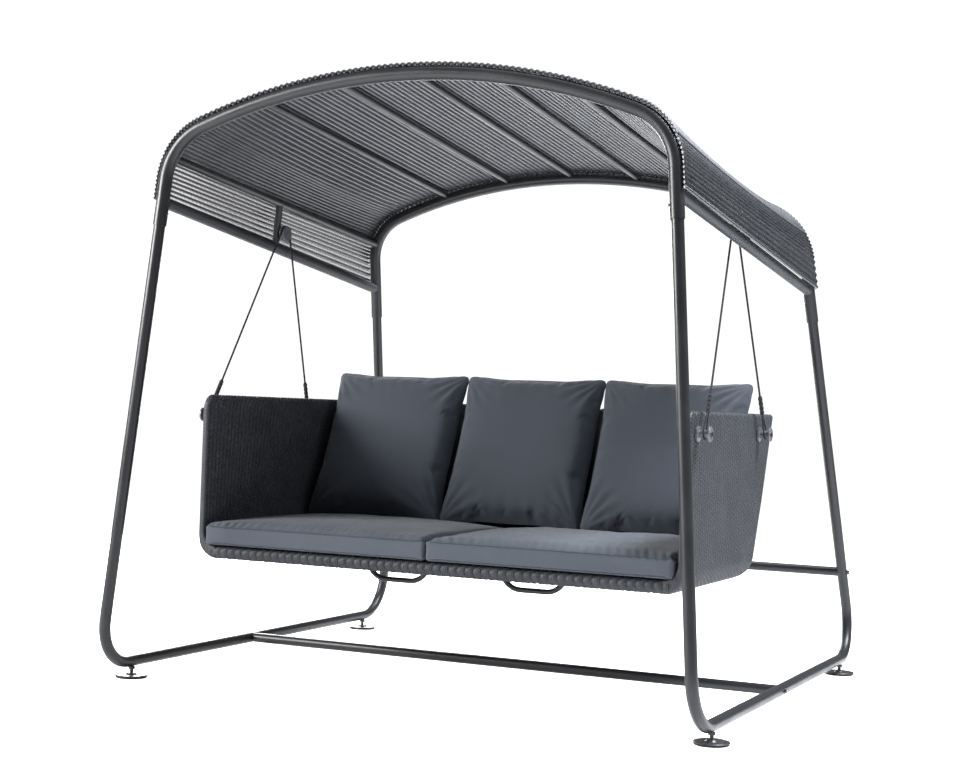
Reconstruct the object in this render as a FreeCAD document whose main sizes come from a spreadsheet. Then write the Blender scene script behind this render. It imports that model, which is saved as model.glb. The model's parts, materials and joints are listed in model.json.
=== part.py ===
import FreeCAD, Part
import math
import os
import Sketcher
from FreeCAD import Placement, Rotation, Vector

# Canopy swing bench.  Millimetres, +Z up, +X to the sitter's left as seen from the front, the front
# is -Y.  The origin is on the floor, in the middle of the space that the stand covers.

doc = FreeCAD.newDocument("canopy_swing_bench")
sheet = doc.addObject("Spreadsheet::Sheet", "dims")

SIZES = [
    # stand: two bent leg frames that lean in towards each other
    ("rail_half_span", 1007.5), ("rail_axis_height", 56.0), ("leg_lean", 4.785),
    ("front_corner", 981.25), ("rear_corner", 1024.75), ("front_rake", 2.91), ("rear_rake", 16.55),
    ("leg_bend", 150.0), ("leg_tube", 38.0), ("tube_wall", 2.0),
    ("front_sleeve_height", 1500.0), ("rear_sleeve_height", 1301.5), ("sleeve_overlap", 80.0),
    # canopy arches
    ("arch_tube", 44.0), ("arch_wall", 2.6), ("arch_crown_radius", 2070.0), ("arch_corner", 200.0),
    ("front_crown_height", 1962.0), ("rear_crown_height", 1827.0), ("canopy_pitch", 5.8),
    ("shoulder_tube", 28.0), ("front_shoulder_height", 1725.0), ("rear_shoulder_height", 1588.0),
    ("end_rail_tube", 38.0), ("front_end_rail_height", 1580.0), ("rear_end_rail_height", 1412.0),
    ("post_tube", 26.0), ("rib_tube", 22.0), ("rib_pitch", 265.0), ("rib_count", 5),
    ("weave_gap", 0.9), ("canopy_weave_wall", 8.0), ("weave_edge", 18.0),
    # cross members of the stand
    ("stretcher_tube", 34.0), ("floor_stretcher_set", -56.0), ("rear_stretcher_height", 371.0),
    ("weld_gap", 0.15),
    # levelling feet
    ("foot_disc", 108.0), ("foot_disc_wall", 4.0), ("foot_pad_wall", 6.0), ("foot_stud", 12.0),
    ("stud_top", 2.0), ("stud_hole", 14.0), ("foot_neck", 14.0), ("rim_chamfer", 1.5), ("hidden_gap", 0.05),
    ("front_foot", -801.0), ("rear_foot", 820.0), ("boss_size", 22.0), ("boss_height", 9.0),
    ("foot_hole", 6.0), ("foot_hole_circle", 80.0), ("foot_screw_length", 30.0),
    # top hubs that carry the ropes
    ("hub_set", -184.0), ("hub_height", 1552.0), ("hub_x", 845.0), ("hub_core", 46.0),
    ("hub_flange", 56.0), ("hub_width", 12.0), ("hub_flange_wall", 4.0), ("hub_stem", 18.0),
    # ropes
    ("rope_size", 7.0), ("rope_gap", 0.3), ("eye_rope", 5.0), ("splice_size", 12.0),
    ("splice_length", 56.0), ("splice_rise", 76.0),
    # arm spools
    ("spool_core", 26.0), ("spool_flange", 48.0), ("spool_length", 44.0), ("spool_wall", 6.0),
    ("front_spool", -581.0), ("rear_spool", 108.0), ("spool_height", 887.0),
    # seat tub
    ("tub_half_width", 865.0), ("tub_bottom", 400.0), ("tub_top", 957.0), ("tub_front", -651.0),
    ("tub_rear_foot", 134.0), ("tub_recline", 21.1), ("tub_wall", 28.0), ("tub_side_bend", 70.0),
    ("tub_rear_bend", 80.0), ("tub_corner", 60.0), ("tub_top_bend", 18.0), ("back_run", 200.0),
    ("deck_height", 448.0), ("deck_bend", 12.0), ("panel_gap", 0.4),
    ("seat_tube", 20.0), ("hoop_wall", 4.0), ("tube_clearance", 0.4), ("rib_bar", 16.0),
    ("rib_bar_wall", 1.5), ("cross_bar", 25.0), ("cross_bar_wall", 2.5), ("braid_size", 46.0),
    ("arm_bend", 55.0), ("seat_rib_pitch", 560.0),
    # loops under the seat
    ("loop_bar", 18.0), ("loop_centre", 250.0), ("loop_width", 225.0), ("loop_drop", 62.0),
    ("loop_bend", 70.0), ("loop_set", -350.0), ("loop_taper", 0.8), ("loop_clearance", 6.0),
    # cushions
    ("seat_cushion_width", 822.0), ("seat_cushion_depth", 724.0), ("seat_cushion_height", 66.0),
    ("seat_cushion_front", -666.0), ("cushion_edge", 14.0),
    ("back_cushion_width", 540.0), ("back_cushion_height", 528.0), ("back_cushion_depth", 150.0),
    ("back_cushion_lift", 522.0), ("back_cushion_edge", 50.0), ("cover_wall", 6.0),
    # fasteners
    ("bolt_head", 14.0), ("bolt_head_height", 6.0), ("bolt_shank", 8.0), ("screw_head", 9.0),
    ("screw_head_height", 3.5), ("washer_size", 17.4), ("washer_wall", 1.5), ("screw_edge", 1.2),
    ("key_size", 8.0), ("key_depth", 4.0),
]
for row, (alias, value) in enumerate(SIZES, start=1):
    sheet.set("A%d" % row, alias.replace("_", " "))
    sheet.set("B%d" % row, str(value))
    sheet.setAlias("B%d" % row, alias)
doc.recompute()

# The sheet's names for the cushions' width, depth, height and rounded edge.
SEAT_CUSHION = ("seat_cushion_width", "seat_cushion_depth", "seat_cushion_height", "cushion_edge")
BACK_CUSHION = ("back_cushion_width", "back_cushion_depth", "back_cushion_height",
                "back_cushion_edge")

# Three back cushions, not quite evenly spread along the seat.
BACK_CUSHIONS = (("left", -557.0), ("middle", -12.0), ("right", 532.0))
SIDES = (("left", -1), ("right", 1))
FLAT_STEP = 0.01


def dim(alias):
    """A size from the sheet."""
    return float(sheet.get(alias))


# ------------------------------------------------------------------ helpers

NODES = []
NAMED = {}


def keep(node, label):
    """Label a finished sub-part and remember it for writing."""
    node.Label = label
    NODES.append(node)
    NAMED[label] = node
    return node


def feature(label, shape):
    """A sub-part whose solid comes from Part's own functions."""
    node = doc.addObject("Part::Feature", label)
    node.Shape = shape
    return keep(node, label)


def bind(node, **expressions):
    """Tie properties of an object to cells of the sheet."""
    for name, expression in expressions.items():
        node.setExpression(name, expression)


def aim(direction):
    """The turn that takes the Z axis to a direction."""
    return Rotation(Vector(0, 0, 1), direction)


def plane_of(body, role):
    """One of a body's own origin planes."""
    return [item for item in body.Origin.OriginFeatures if item.Role == role][0]


def new_sketch(body, name, role):
    """A sketch on one of the body's origin planes."""
    sketch = body.newObject("Sketcher::SketchObject", name)
    sketch.AttachmentSupport = [(plane_of(body, role), "")]
    sketch.MapMode = "FlatFace"
    return sketch


def add_circle(sketch, radius_alias, factor=0.5, minus="", name="ring", centre=(0, 0)):
    """A circle on a sketch, with its radius tied to the sheet."""
    size = dim(radius_alias) * factor - (dim(minus) if minus else 0.0)
    index = sketch.addGeometry(Part.Circle(Vector(centre[0], centre[1], 0), Vector(0, 0, 1), size))
    sketch.addConstraint(Sketcher.Constraint("Coincident", index, 3, -1, 1)
                         if centre == (0, 0)
                         else Sketcher.Constraint("DistanceX", -1, 1, index, 3, centre[0]))
    if centre != (0, 0):
        sketch.addConstraint(Sketcher.Constraint("DistanceY", -1, 1, index, 3, centre[1]))
    radius = sketch.addConstraint(Sketcher.Constraint("Radius", index, size))
    sketch.renameConstraint(radius, name)
    text = "dims.%s * %s" % (radius_alias, factor) + (" - dims.%s" % minus if minus else "")
    sketch.setExpression("Constraints." + name, text)
    return index


def plain_tube(label, start, end, size, wall=None):
    """A straight tube, or a round bar when it has no wall, between two points."""
    body = doc.addObject("PartDesign::Body", label)
    sketch = new_sketch(body, label + "_ring", "XY_Plane")
    add_circle(sketch, size, name="outside")
    if wall:
        add_circle(sketch, size, minus=wall, name="inside")
    pad = body.newObject("PartDesign::Pad", label + "_run")
    pad.Profile = sketch
    pad.Length = (end - start).Length
    body.Placement = Placement(start, aim(end - start))
    return body


def straight_tube(label, start, end, size, wall=None):
    """A straight tube that is a sub-part as it is."""
    return keep(plain_tube(label, start, end, size, wall), label)


def coped_tube(label, start, end, size, wall, room):
    """A straight tube whose ends are cut to the shape of the round tubes that they are welded to."""
    node = doc.addObject("Part::Cut", label)
    node.Base = plain_tube(label + "_blank", start, end, size, wall)
    node.Tool = room
    return keep(node, label)


def room_for(label, solids):
    """The space that other tubes take up, as a tool for coping."""
    tool = doc.addObject("Part::Feature", label)
    tool.Shape = Part.makeCompound(solids)
    return tool


def run_room(start, end, size):
    """The space of one straight tube, with room for its weld."""
    radius = dim(size) / 2 + dim("weld_gap")
    return Part.makeCylinder(radius, (end - start).Length, start, end - start)


def corner(before, point, after, radius):
    """Where a bend of a given radius at a point starts, its middle and where it ends."""
    into = (before - point).normalize()
    out = (after - point).normalize()
    half = into.getAngle(out) / 2
    reach = radius / math.tan(half)
    middle = (into + out).normalize() * (radius / math.sin(half) - radius)
    return point + into * reach, point + middle, point + out * reach


def bent_path(points, radii, closed=False):
    """Straight runs joined by tangent bends, as one wire.  Radii belong to the inner points."""
    edges = []
    last = points[0]
    for before, point, after, radius in zip(points, points[1:], points[2:], radii):
        start, middle, end = corner(before, point, after, radius)
        if (start - last).Length > FLAT_STEP:
            edges.append(Part.LineSegment(last, start).toShape())
        edges.append(Part.Arc(start, middle, end).toShape())
        last = end
    edges.append(Part.LineSegment(last, points[-1]).toShape())
    return Part.Wire(edges)


def sweep(wire, size):
    """A round solid along a wire."""
    edge = wire.Edges[0]
    start = edge.valueAt(edge.FirstParameter)
    direction = edge.tangentAt(edge.FirstParameter)
    if (wire.OrderedVertexes[0].Point - start).Length > FLAT_STEP:
        start = edge.valueAt(edge.LastParameter)
        direction = edge.tangentAt(edge.LastParameter) * -1
    ring = Part.Wire([Part.makeCircle(size / 2, start, direction)])
    return wire.makePipeShell([ring], True, True)


def revolved(label, outline, placement):
    """A turned piece: its half outline, as radius and height pairs, spun round the Z axis."""
    body = doc.addObject("PartDesign::Body", label)
    sketch = new_sketch(body, label + "_outline", "XZ_Plane")
    corners = [Vector(radius, height, 0) for radius, height in outline]
    count = len(corners)
    for index in range(count):
        sketch.addGeometry(Part.LineSegment(corners[index], corners[(index + 1) % count]))
    for index in range(count):
        sketch.addConstraint(Sketcher.Constraint("Coincident", index, 2, (index + 1) % count, 1))
    spin = body.newObject("PartDesign::Revolution", label + "_spin")
    spin.Profile = sketch
    spin.ReferenceAxis = (sketch, ["V_Axis"])
    spin.Angle = 360.0
    body.Placement = placement
    return body


# ------------------------------------------------------------------ geometry of the stand

LEAN = math.radians(dim("leg_lean"))
FRONT_RAKE = math.radians(dim("front_rake"))
REAR_RAKE = math.radians(dim("rear_rake"))
RAIL_Z = dim("rail_axis_height")
HALF_SPAN = dim("rail_half_span")
LEG_RADIUS = dim("leg_tube") / 2
ARCH_RADIUS = dim("arch_tube") / 2
PITCH = math.radians(dim("canopy_pitch"))


def leg_at(height, side, rear=False):
    """The middle of a leg at a height above the floor."""
    rise = (height - RAIL_Z) / math.cos(LEAN)
    x = HALF_SPAN - rise * math.sin(LEAN)
    if rear:
        y = dim("rear_corner") - rise * math.tan(REAR_RAKE)
    else:
        y = -dim("front_corner") + rise * math.tan(FRONT_RAKE)
    return Vector(side * x, y, height)


class ArchPlane:
    """The leaning plane of one arch, with the arch's own curve in it.

    Points in the plane are pairs: the distance across, and the distance up the slope from the
    height of the floor rails.
    """

    def __init__(self, rear):
        rake = REAR_RAKE if rear else FRONT_RAKE
        self.slope = math.atan(math.tan(rake) / math.cos(LEAN))
        self.rear = rear
        self.base_y = dim("rear_corner") if rear else -dim("front_corner")
        self.crown = self.up_slope(dim("rear_crown_height" if rear else "front_crown_height"))
        self.centre_up = self.crown - dim("arch_crown_radius")
        lean = math.atan(math.tan(LEAN) * math.cos(self.slope))
        along = (-math.sin(lean), math.cos(lean))
        inward = (-math.cos(lean), -math.sin(lean))
        big, small = dim("arch_crown_radius"), dim("arch_corner")
        # The corner bend touches the leg's line and the inside of the crown's circle.
        x0 = HALF_SPAN + inward[0] * small
        u0 = inward[1] * small - self.centre_up
        half_b = x0 * along[0] + u0 * along[1]
        rest = x0 * x0 + u0 * u0 - (big - small) ** 2
        reach = -half_b + math.sqrt(half_b * half_b - rest)
        self.bend = (x0 + along[0] * reach, u0 + along[1] * reach + self.centre_up)
        self.along = along
        self.inward = inward
        span = math.hypot(self.bend[0], self.bend[1] - self.centre_up)
        self.toward = (self.bend[0] / span, (self.bend[1] - self.centre_up) / span)

    def up_slope(self, height):
        """A height above the floor as a distance up the plane."""
        return (height - RAIL_Z) / math.cos(self.slope)

    def place(self, across, up, shift=0.0):
        """A point of the plane in space, moved backwards down the canopy's slope by a shift."""
        turn = -1 if self.rear else 1
        y = self.base_y + turn * up * math.sin(self.slope) + shift
        return Vector(across, y, RAIL_Z + up * math.cos(self.slope) - shift * math.tan(PITCH))

    def bend_point(self, angle_in, angle_up, offset):
        """A point of the corner bend, by a direction from its middle."""
        radius = dim("arch_corner") + offset
        return self.bend[0] + angle_in * radius, self.bend[1] + angle_up * radius

    def half_curve(self, height, offset=0.0):
        """The right half of the arch from a height up to the crown: start, bend and crown points."""
        up = self.up_slope(height)
        first = (HALF_SPAN - math.tan(LEAN) * math.cos(self.slope) * up - self.inward[0] * offset,
                 up - self.inward[1] * offset)
        bend_start = self.bend_point(-self.inward[0], -self.inward[1], offset)
        bend_end = self.bend_point(self.toward[0], self.toward[1], offset)
        mix = (self.toward[0] - self.inward[0], self.toward[1] - self.inward[1])
        size = math.hypot(*mix)
        bend_mid = self.bend_point(mix[0] / size, mix[1] / size, offset)
        return first, bend_start, bend_mid, bend_end, (0.0, self.crown + offset)

    def edges(self, height, offset=0.0, shift=0.0):
        """The arch's curve as edges in space, from its right foot over to its left foot."""
        first, start, mid, end, crown = self.half_curve(height, offset)
        right = [self.place(x, up, shift) for x, up in (first, start, mid, end)]
        left = [self.place(-x, up, shift) for x, up in (first, start, mid, end)]
        top = self.place(crown[0], crown[1], shift)
        return [Part.LineSegment(right[0], right[1]).toShape(),
                Part.Arc(right[1], right[2], right[3]).toShape(),
                Part.Arc(right[3], top, left[3]).toShape(),
                Part.Arc(left[3], left[2], left[1]).toShape(),
                Part.LineSegment(left[1], left[0]).toShape()]

    def point_at_height(self, height, side):
        """The arch's middle at a height, on the bend or the leg's line."""
        up = self.up_slope(height)
        line_x = HALF_SPAN - math.tan(LEAN) * math.cos(self.slope) * up
        if up > self.bend_point(-self.inward[0], -self.inward[1], 0.0)[1]:
            rise = up - self.bend[1]
            line_x = self.bend[0] + math.sqrt(dim("arch_corner") ** 2 - rise ** 2)
        return self.place(side * line_x, up)

    def point_at_x(self, across, offset=0.0):
        """A point of the crown, at a distance across."""
        radius = dim("arch_crown_radius") + offset
        return self.place(across, self.centre_up + math.sqrt(radius ** 2 - across ** 2))


FRONT_ARCH = ArchPlane(rear=False)
REAR_ARCH = ArchPlane(rear=True)


# ------------------------------------------------------------------ stand

def leg_frame(name, side):
    """One leg frame: front leg, floor rail and rear leg, bent from a single tube."""
    body = doc.addObject("PartDesign::Body", "leg_frame_" + name)
    path = new_sketch(body, "leg_path_" + name, "YZ_Plane")
    front_rise = (dim("front_sleeve_height") + dim("sleeve_overlap") - RAIL_Z) / math.cos(LEAN)
    rear_rise = (dim("rear_sleeve_height") + dim("sleeve_overlap") - RAIL_Z) / math.cos(LEAN)
    front, rear = -dim("front_corner"), dim("rear_corner")
    points = [Vector(front + front_rise * math.tan(FRONT_RAKE), front_rise, 0), Vector(front, 0, 0),
              Vector(rear, 0, 0), Vector(rear - rear_rise * math.tan(REAR_RAKE), rear_rise, 0)]
    wire = bent_path(points, [dim("leg_bend")] * 2)
    for edge in wire.Edges:
        curve = edge.Curve
        if isinstance(curve, Part.Circle):
            path.addGeometry(Part.ArcOfCircle(curve, edge.FirstParameter, edge.LastParameter))
        else:
            path.addGeometry(Part.LineSegment(edge.Vertexes[0].Point, edge.Vertexes[1].Point))
    for index in (1, 3):
        bend = path.addConstraint(Sketcher.Constraint("Radius", index, dim("leg_bend")))
        path.renameConstraint(bend, "bend_%d" % index)
        path.setExpression("Constraints.bend_%d" % index, "dims.leg_bend")
    ring = body.newObject("Sketcher::SketchObject", "leg_ring_" + name)
    ring.AttachmentSupport = [(path, "Edge1")]
    ring.MapMode = "NormalToEdge"
    ring.MapPathParameter = 0.0
    add_circle(ring, "leg_tube", name="outside")
    add_circle(ring, "leg_tube", minus="tube_wall", name="inside")
    doc.recompute()
    pipe = body.newObject("PartDesign::AdditivePipe", "leg_pipe_" + name)
    pipe.Profile = ring
    pipe.Spine = (path, ["Edge%d" % (index + 1) for index in range(len(wire.Edges))])
    body.Placement = Placement(Vector(side * HALF_SPAN, 0, RAIL_Z),
                               Rotation(Vector(0, 1, 0), -side * dim("leg_lean")))
    return keep(body, "leg_frame_" + name)


def arch(name, plane, sleeve_height):
    """A canopy arch whose straight ends slide down over the leg tops."""
    wire = Part.Wire(plane.edges(sleeve_height))
    solid = sweep(wire, dim("arch_tube"))
    bore = sweep(wire, dim("arch_tube") - 2 * dim("arch_wall"))
    return feature(name + "_arch", solid.cut(bore))


def canopy_frame():
    """The rails, posts and ribs that join the two arches."""
    room = room_for("arch_room", [
        sweep(Part.Wire(plane.edges(dim(sleeve))), dim("arch_tube") + 2 * dim("weld_gap"))
        for plane, sleeve in ((FRONT_ARCH, "front_sleeve_height"), (REAR_ARCH, "rear_sleeve_height"))])
    for name, side in SIDES:
        front = FRONT_ARCH.point_at_height(dim("front_shoulder_height"), side)
        rear = REAR_ARCH.point_at_height(dim("rear_shoulder_height"), side)
        coped_tube("shoulder_rail_" + name, front, rear, "shoulder_tube", "tube_wall", room)
        low_front = FRONT_ARCH.point_at_height(dim("front_end_rail_height"), side)
        low_rear = REAR_ARCH.point_at_height(dim("rear_end_rail_height"), side)
        coped_tube("end_rail_" + name, low_front, low_rear, "end_rail_tube", "tube_wall", room)
        share = (dim("hub_set") - low_front.y) / (low_rear.y - low_front.y)
        foot = low_front + (low_rear - low_front) * share
        head = front + (rear - front) * share
        rails = room_for("post_room_" + name, [run_room(front, rear, "shoulder_tube"),
                                               run_room(low_front, low_rear, "end_rail_tube")])
        coped_tube("end_post_" + name, foot, head, "post_tube", "tube_wall", rails)
    count = int(dim("rib_count"))
    lift = ARCH_RADIUS - dim("rib_tube") / 2
    for index in range(count):
        across = (index - (count - 1) / 2) * dim("rib_pitch")
        front = FRONT_ARCH.point_at_x(across, lift)
        rear = REAR_ARCH.point_at_x(across, lift)
        coped_tube("canopy_rib_%d" % (index + 1), front, rear, "rib_tube", "tube_wall", room)


def canopy_outline(plane, height, shift):
    """A closed wire round the section of the canopy's weave at one arch."""
    tilt = plane.slope + PITCH if plane.rear else plane.slope - PITCH
    near = (ARCH_RADIUS + dim("weave_gap")) / math.cos(tilt)
    far = near + dim("canopy_weave_wall")
    outside = plane.edges(height, far, shift)
    inside = plane.edges(height, near, shift)
    ends = [Part.LineSegment(outside[-1].Vertexes[-1].Point, inside[-1].Vertexes[-1].Point),
            Part.LineSegment(inside[0].Vertexes[0].Point, outside[0].Vertexes[0].Point)]
    return Part.Wire(Part.__sortEdges__(outside + inside + [end.toShape() for end in ends]))


def canopy_weave():
    """The woven skin over both arches and down the two ends to the end rails."""
    front = canopy_outline(FRONT_ARCH, dim("front_end_rail_height"), -dim("weave_edge"))
    rear = canopy_outline(REAR_ARCH, dim("rear_end_rail_height"), dim("weave_edge"))
    feature("canopy_weave", Part.makeLoft([front, rear], True, True))


def stretchers():
    """The two cross tubes between the leg frames, and their bolts."""
    y = dim("floor_stretcher_set")
    height = dim("rear_stretcher_height")
    reach = Vector(0, 100.0, 0)
    rails = [Vector(side * HALF_SPAN, y, RAIL_Z) for side in (-1, 1)]
    room = room_for("rail_room", [run_room(spot - reach, spot + reach, "leg_tube") for spot in rails])
    coped_tube("floor_stretcher", rails[0], rails[1], "stretcher_tube", "tube_wall", room)
    legs = [leg_at(height, side, rear=True) for side in (-1, 1)]
    room = room_for("rear_leg_room", [run_room(leg_at(height - 100.0, side, rear=True),
                                               leg_at(height + 100.0, side, rear=True), "leg_tube")
                                      for side in (-1, 1)])
    coped_tube("rear_stretcher", legs[0], legs[1], "stretcher_tube", "tube_wall", room)
    heads = []
    for side in (-1, 1):
        out = Vector(side, 0, 0)
        floor_spot = Vector(side * (HALF_SPAN + LEG_RADIUS + 0.3), y, RAIL_Z)
        leg = leg_at(dim("rear_stretcher_height"), side, rear=True)
        for spot in (floor_spot, Vector(leg.x + side * (LEG_RADIUS + 1.0), leg.y, leg.z)):
            heads.append(hex_head(spot, out))
    feature("stretcher_bolts", Part.makeCompound(heads))


def hex_head(spot, out):
    """A hexagonal bolt head standing on a spot, with a washer under it."""
    washer = Part.makeCylinder(dim("washer_size") / 2, dim("washer_wall"), spot, out)
    sides = [Rotation(Vector(0, 0, 1), 60 * turn).multVec(Vector(dim("bolt_head") / 2, 0, 0))
             for turn in range(7)]
    block = Part.Face(Part.makePolygon(sides)).extrude(Vector(0, 0, dim("bolt_head_height")))
    block.Placement = Placement(spot + out * dim("washer_wall"), aim(out))
    return washer.fuse(block).removeSplitter()


def sleeve_screws():
    """Button screws that lock each arch end to its leg."""
    screws = []
    for rear, height in ((False, dim("front_sleeve_height")), (True, dim("rear_sleeve_height"))):
        for side in (-1, 1):
            spot = leg_at(height + dim("sleeve_overlap") / 2, side, rear)
            slope = REAR_ARCH.slope
            out = Vector(0, math.cos(slope), math.sin(slope)) if rear else Vector(-side, 0, 0)
            base = spot + out * (ARCH_RADIUS + 0.6)
            head = Part.makeCylinder(dim("screw_head") / 2, dim("screw_head_height"), base, out)
            screws.append(head.makeFillet(dim("screw_edge"), [head.Edges[0]]))
    feature("sleeve_screws", Part.makeCompound(screws))


# ------------------------------------------------------------------ feet

def foot_spots():
    """Names and places of the four feet."""
    for row, y in (("front", dim("front_foot")), ("rear", dim("rear_foot"))):
        for name, side in SIDES:
            yield "%s_%s" % (row, name), side * HALF_SPAN, y


def feet():
    """Levelling feet: a disc with a threaded stud, a rubber pad under it, a boss on the rail."""
    bosses = []
    pad_top = dim("foot_pad_wall")
    disc_top = pad_top + dim("foot_disc_wall")
    boss_foot = RAIL_Z - LEG_RADIUS - dim("boss_height")
    rim = dim("foot_disc") / 2
    stud = dim("foot_stud") / 2
    stud_top = RAIL_Z + dim("stud_top")
    neck = dim("foot_neck")
    hole_set = dim("foot_hole_circle") / 2
    for name, x, y in foot_spots():
        outline = [(0, pad_top), (rim, pad_top), (rim, disc_top - dim("rim_chamfer")),
                   (rim - dim("rim_chamfer"), disc_top), (neck + 6, disc_top), (neck, disc_top + 5),
                   (stud, disc_top + 5.5), (stud, stud_top), (0, stud_top)]
        plate = revolved("foot_plate_" + name, outline, Placement(Vector(x, y, 0), Rotation()))
        doc.recompute()
        drill = new_sketch(plate, "foot_drill_" + name, "XY_Plane")
        add_circle(drill, "foot_hole", name="bore", centre=(hole_set, 0))
        pocket = plate.newObject("PartDesign::Pocket", "foot_hole_" + name)
        pocket.Profile = drill
        pocket.Type = "ThroughAll"
        pocket.Midplane = True
        ring = plate.newObject("PartDesign::PolarPattern", "foot_holes_" + name)
        ring.Originals = [pocket]
        ring.Axis = (drill, ["N_Axis"])
        ring.Angle = 360.0
        ring.Occurrences = 4
        plate.Tip = ring
        keep(plate, "foot_plate_" + name)

        pad = revolved("foot_pad_" + name, [(0, 0), (rim - 4, 0), (rim - 2, 1.5),
                                            (rim - 2, pad_top - dim("hidden_gap")),
                                            (0, pad_top - dim("hidden_gap"))],
                       Placement(Vector(x, y, 0), Rotation()))
        keep(pad, "foot_pad_" + name)

        boss = Part.makeCylinder(dim("boss_size") / 2, dim("boss_height") - 0.8,
                                 Vector(x, y, boss_foot))
        bore = Part.makeCylinder(stud + 0.3, dim("boss_height") + 2, Vector(x, y, boss_foot - 1))
        bosses.append(boss.cut(bore))
    feature("foot_bosses", Part.makeCompound(bosses))


def drill_rails(frames):
    """Clearance holes in the underside of the floor rails for the feet's studs."""
    aside = (LEG_RADIUS - dim("tube_wall") / 2) * math.sin(LEAN)
    for frame, side in frames:
        before = frame.Shape.Volume
        for row in ("front", "rear"):
            hole = new_sketch(frame, "stud_hole_%s_%s" % (row, frame.Label), "XY_Plane")
            add_circle(hole, "stud_hole", name="bore", centre=(-side * aside, dim(row + "_foot")))
            pocket = frame.newObject("PartDesign::Pocket", "stud_pocket_%s_%s" % (row, frame.Label))
            pocket.Profile = hole
            pocket.Length = 2 * LEG_RADIUS
            frame.Tip = pocket
        doc.recompute()
        if frame.Shape.Volume > before - 1.0:
            raise RuntimeError("the stud holes did not cut " + frame.Label)


# ------------------------------------------------------------------ hubs

HUB = Vector(dim("hub_x"), dim("hub_set"), dim("hub_height"))


def post_room(name):
    """The space of one end post, with room for the hub's weld."""
    post = NAMED["end_post_" + name].Base
    length = NAMED["end_post_" + name].Shape.BoundBox.DiagonalLength
    along = post.Placement.Rotation.multVec(Vector(0, 0, 1))
    return run_room(post.Placement.Base, post.Placement.Base + along * 2 * length, "post_tube")


def hubs():
    """The two top hubs, each a flanged spool on an end post, with a cap disc bolted on."""
    core = dim("hub_core") / 2
    flange = dim("hub_flange") / 2
    half = dim("hub_width") / 2
    wall = dim("hub_flange_wall")
    for name, side in SIDES:
        post = NAMED["end_post_" + name].Shape.BoundBox
        reach = abs(post.Center.x) - HUB.x
        stem = dim("hub_stem") / 2
        outline = [(0, -half), (core, -half), (core, half), (flange - 1, half), (flange, half + 1),
                   (flange, half + wall), (stem, half + wall + 1), (stem, reach), (0, reach)]
        place = Placement(Vector(side * HUB.x, HUB.y, HUB.z), aim(Vector(side, 0, 0)))
        hub = doc.addObject("Part::Cut", "top_hub_" + name)
        hub.Base = revolved("hub_blank_" + name, outline, place)
        hub.Tool = room_for("hub_room_" + name, [post_room(name)])
        keep(hub, "top_hub_" + name)
        cap = [(0, 0.2), (flange, 0.2), (flange, wall - 1), (flange - 1.5, wall), (7, wall),
               (6, wall + 2.5), (0, wall + 3)]
        cap_place = Placement(Vector(side * (HUB.x - half), HUB.y, HUB.z), aim(Vector(-side, 0, 0)))
        keep(revolved("hub_cap_" + name, cap, cap_place), "hub_cap_" + name)


# ------------------------------------------------------------------ seat tub

def back_y(height, inset=0.0):
    """The middle plane of the seat: how far back the back's outer face is at a height."""
    tilt = math.radians(dim("tub_recline"))
    return dim("tub_rear_foot") + (height - dim("tub_bottom")) * math.tan(tilt) - inset / math.cos(tilt)


def tub_block(inset, top, front, floor_z, side_bend, corner_bend, top_bends=None):
    """The tub's outline as one rounded block, drawn in from the outside by an inset."""
    half = dim("tub_half_width") - inset
    points = [Vector(-half, front, floor_z), Vector(-half, back_y(floor_z, inset), floor_z),
              Vector(-half, back_y(top, inset), top), Vector(-half, front, top),
              Vector(-half, front, floor_z)]
    block = Part.Face(Part.makePolygon(points)).extrude(Vector(2 * half, 0, 0))
    low_edges = []
    for edge in block.Edges:
        first, last = (vertex.Point for vertex in edge.Vertexes)
        if max(first.z, last.z) < floor_z + FLAT_STEP and max(first.y, last.y) > front + FLAT_STEP:
            low_edges.append(edge)
    block = block.makeFillet(side_bend, low_edges)
    if top_bends:
        block = block.makeFillet(top_bends[0], edges_at(block, front, top))
    uprights = [edge for edge in block.Edges
                if min(vertex.Point.y for vertex in edge.Vertexes) > front + FLAT_STEP
                and abs(edge.Vertexes[0].Point.z - edge.Vertexes[-1].Point.z) > dim("back_run")]
    block = block.makeFillet(corner_bend, uprights)
    if top_bends:
        block = block.makeFillet(top_bends[1], edges_at(block, back_y(top, inset), top))
    return block


def edges_at(block, y, z):
    """The edges of a block that run across at a given place."""
    return [edge for edge in block.Edges
            if all(abs(vertex.Point.y - y) < FLAT_STEP and abs(vertex.Point.z - z) < FLAT_STEP
                   for vertex in edge.Vertexes)]


def slab(x0, x1, y0, y1, z0, z1):
    """A box given by its low and high sides."""
    return Part.makeBox(x1 - x0, y1 - y0, z1 - z0, Vector(x0, y0, z0))


def tub_channels():
    """Room for the frame tubes that run inside the tub's walls."""
    room = 2 * dim("tube_clearance")
    return [sweep(top_rail_path(), dim("seat_tube") + room),
            sweep(front_hoop_path(), dim("seat_tube") + room)]


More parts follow.
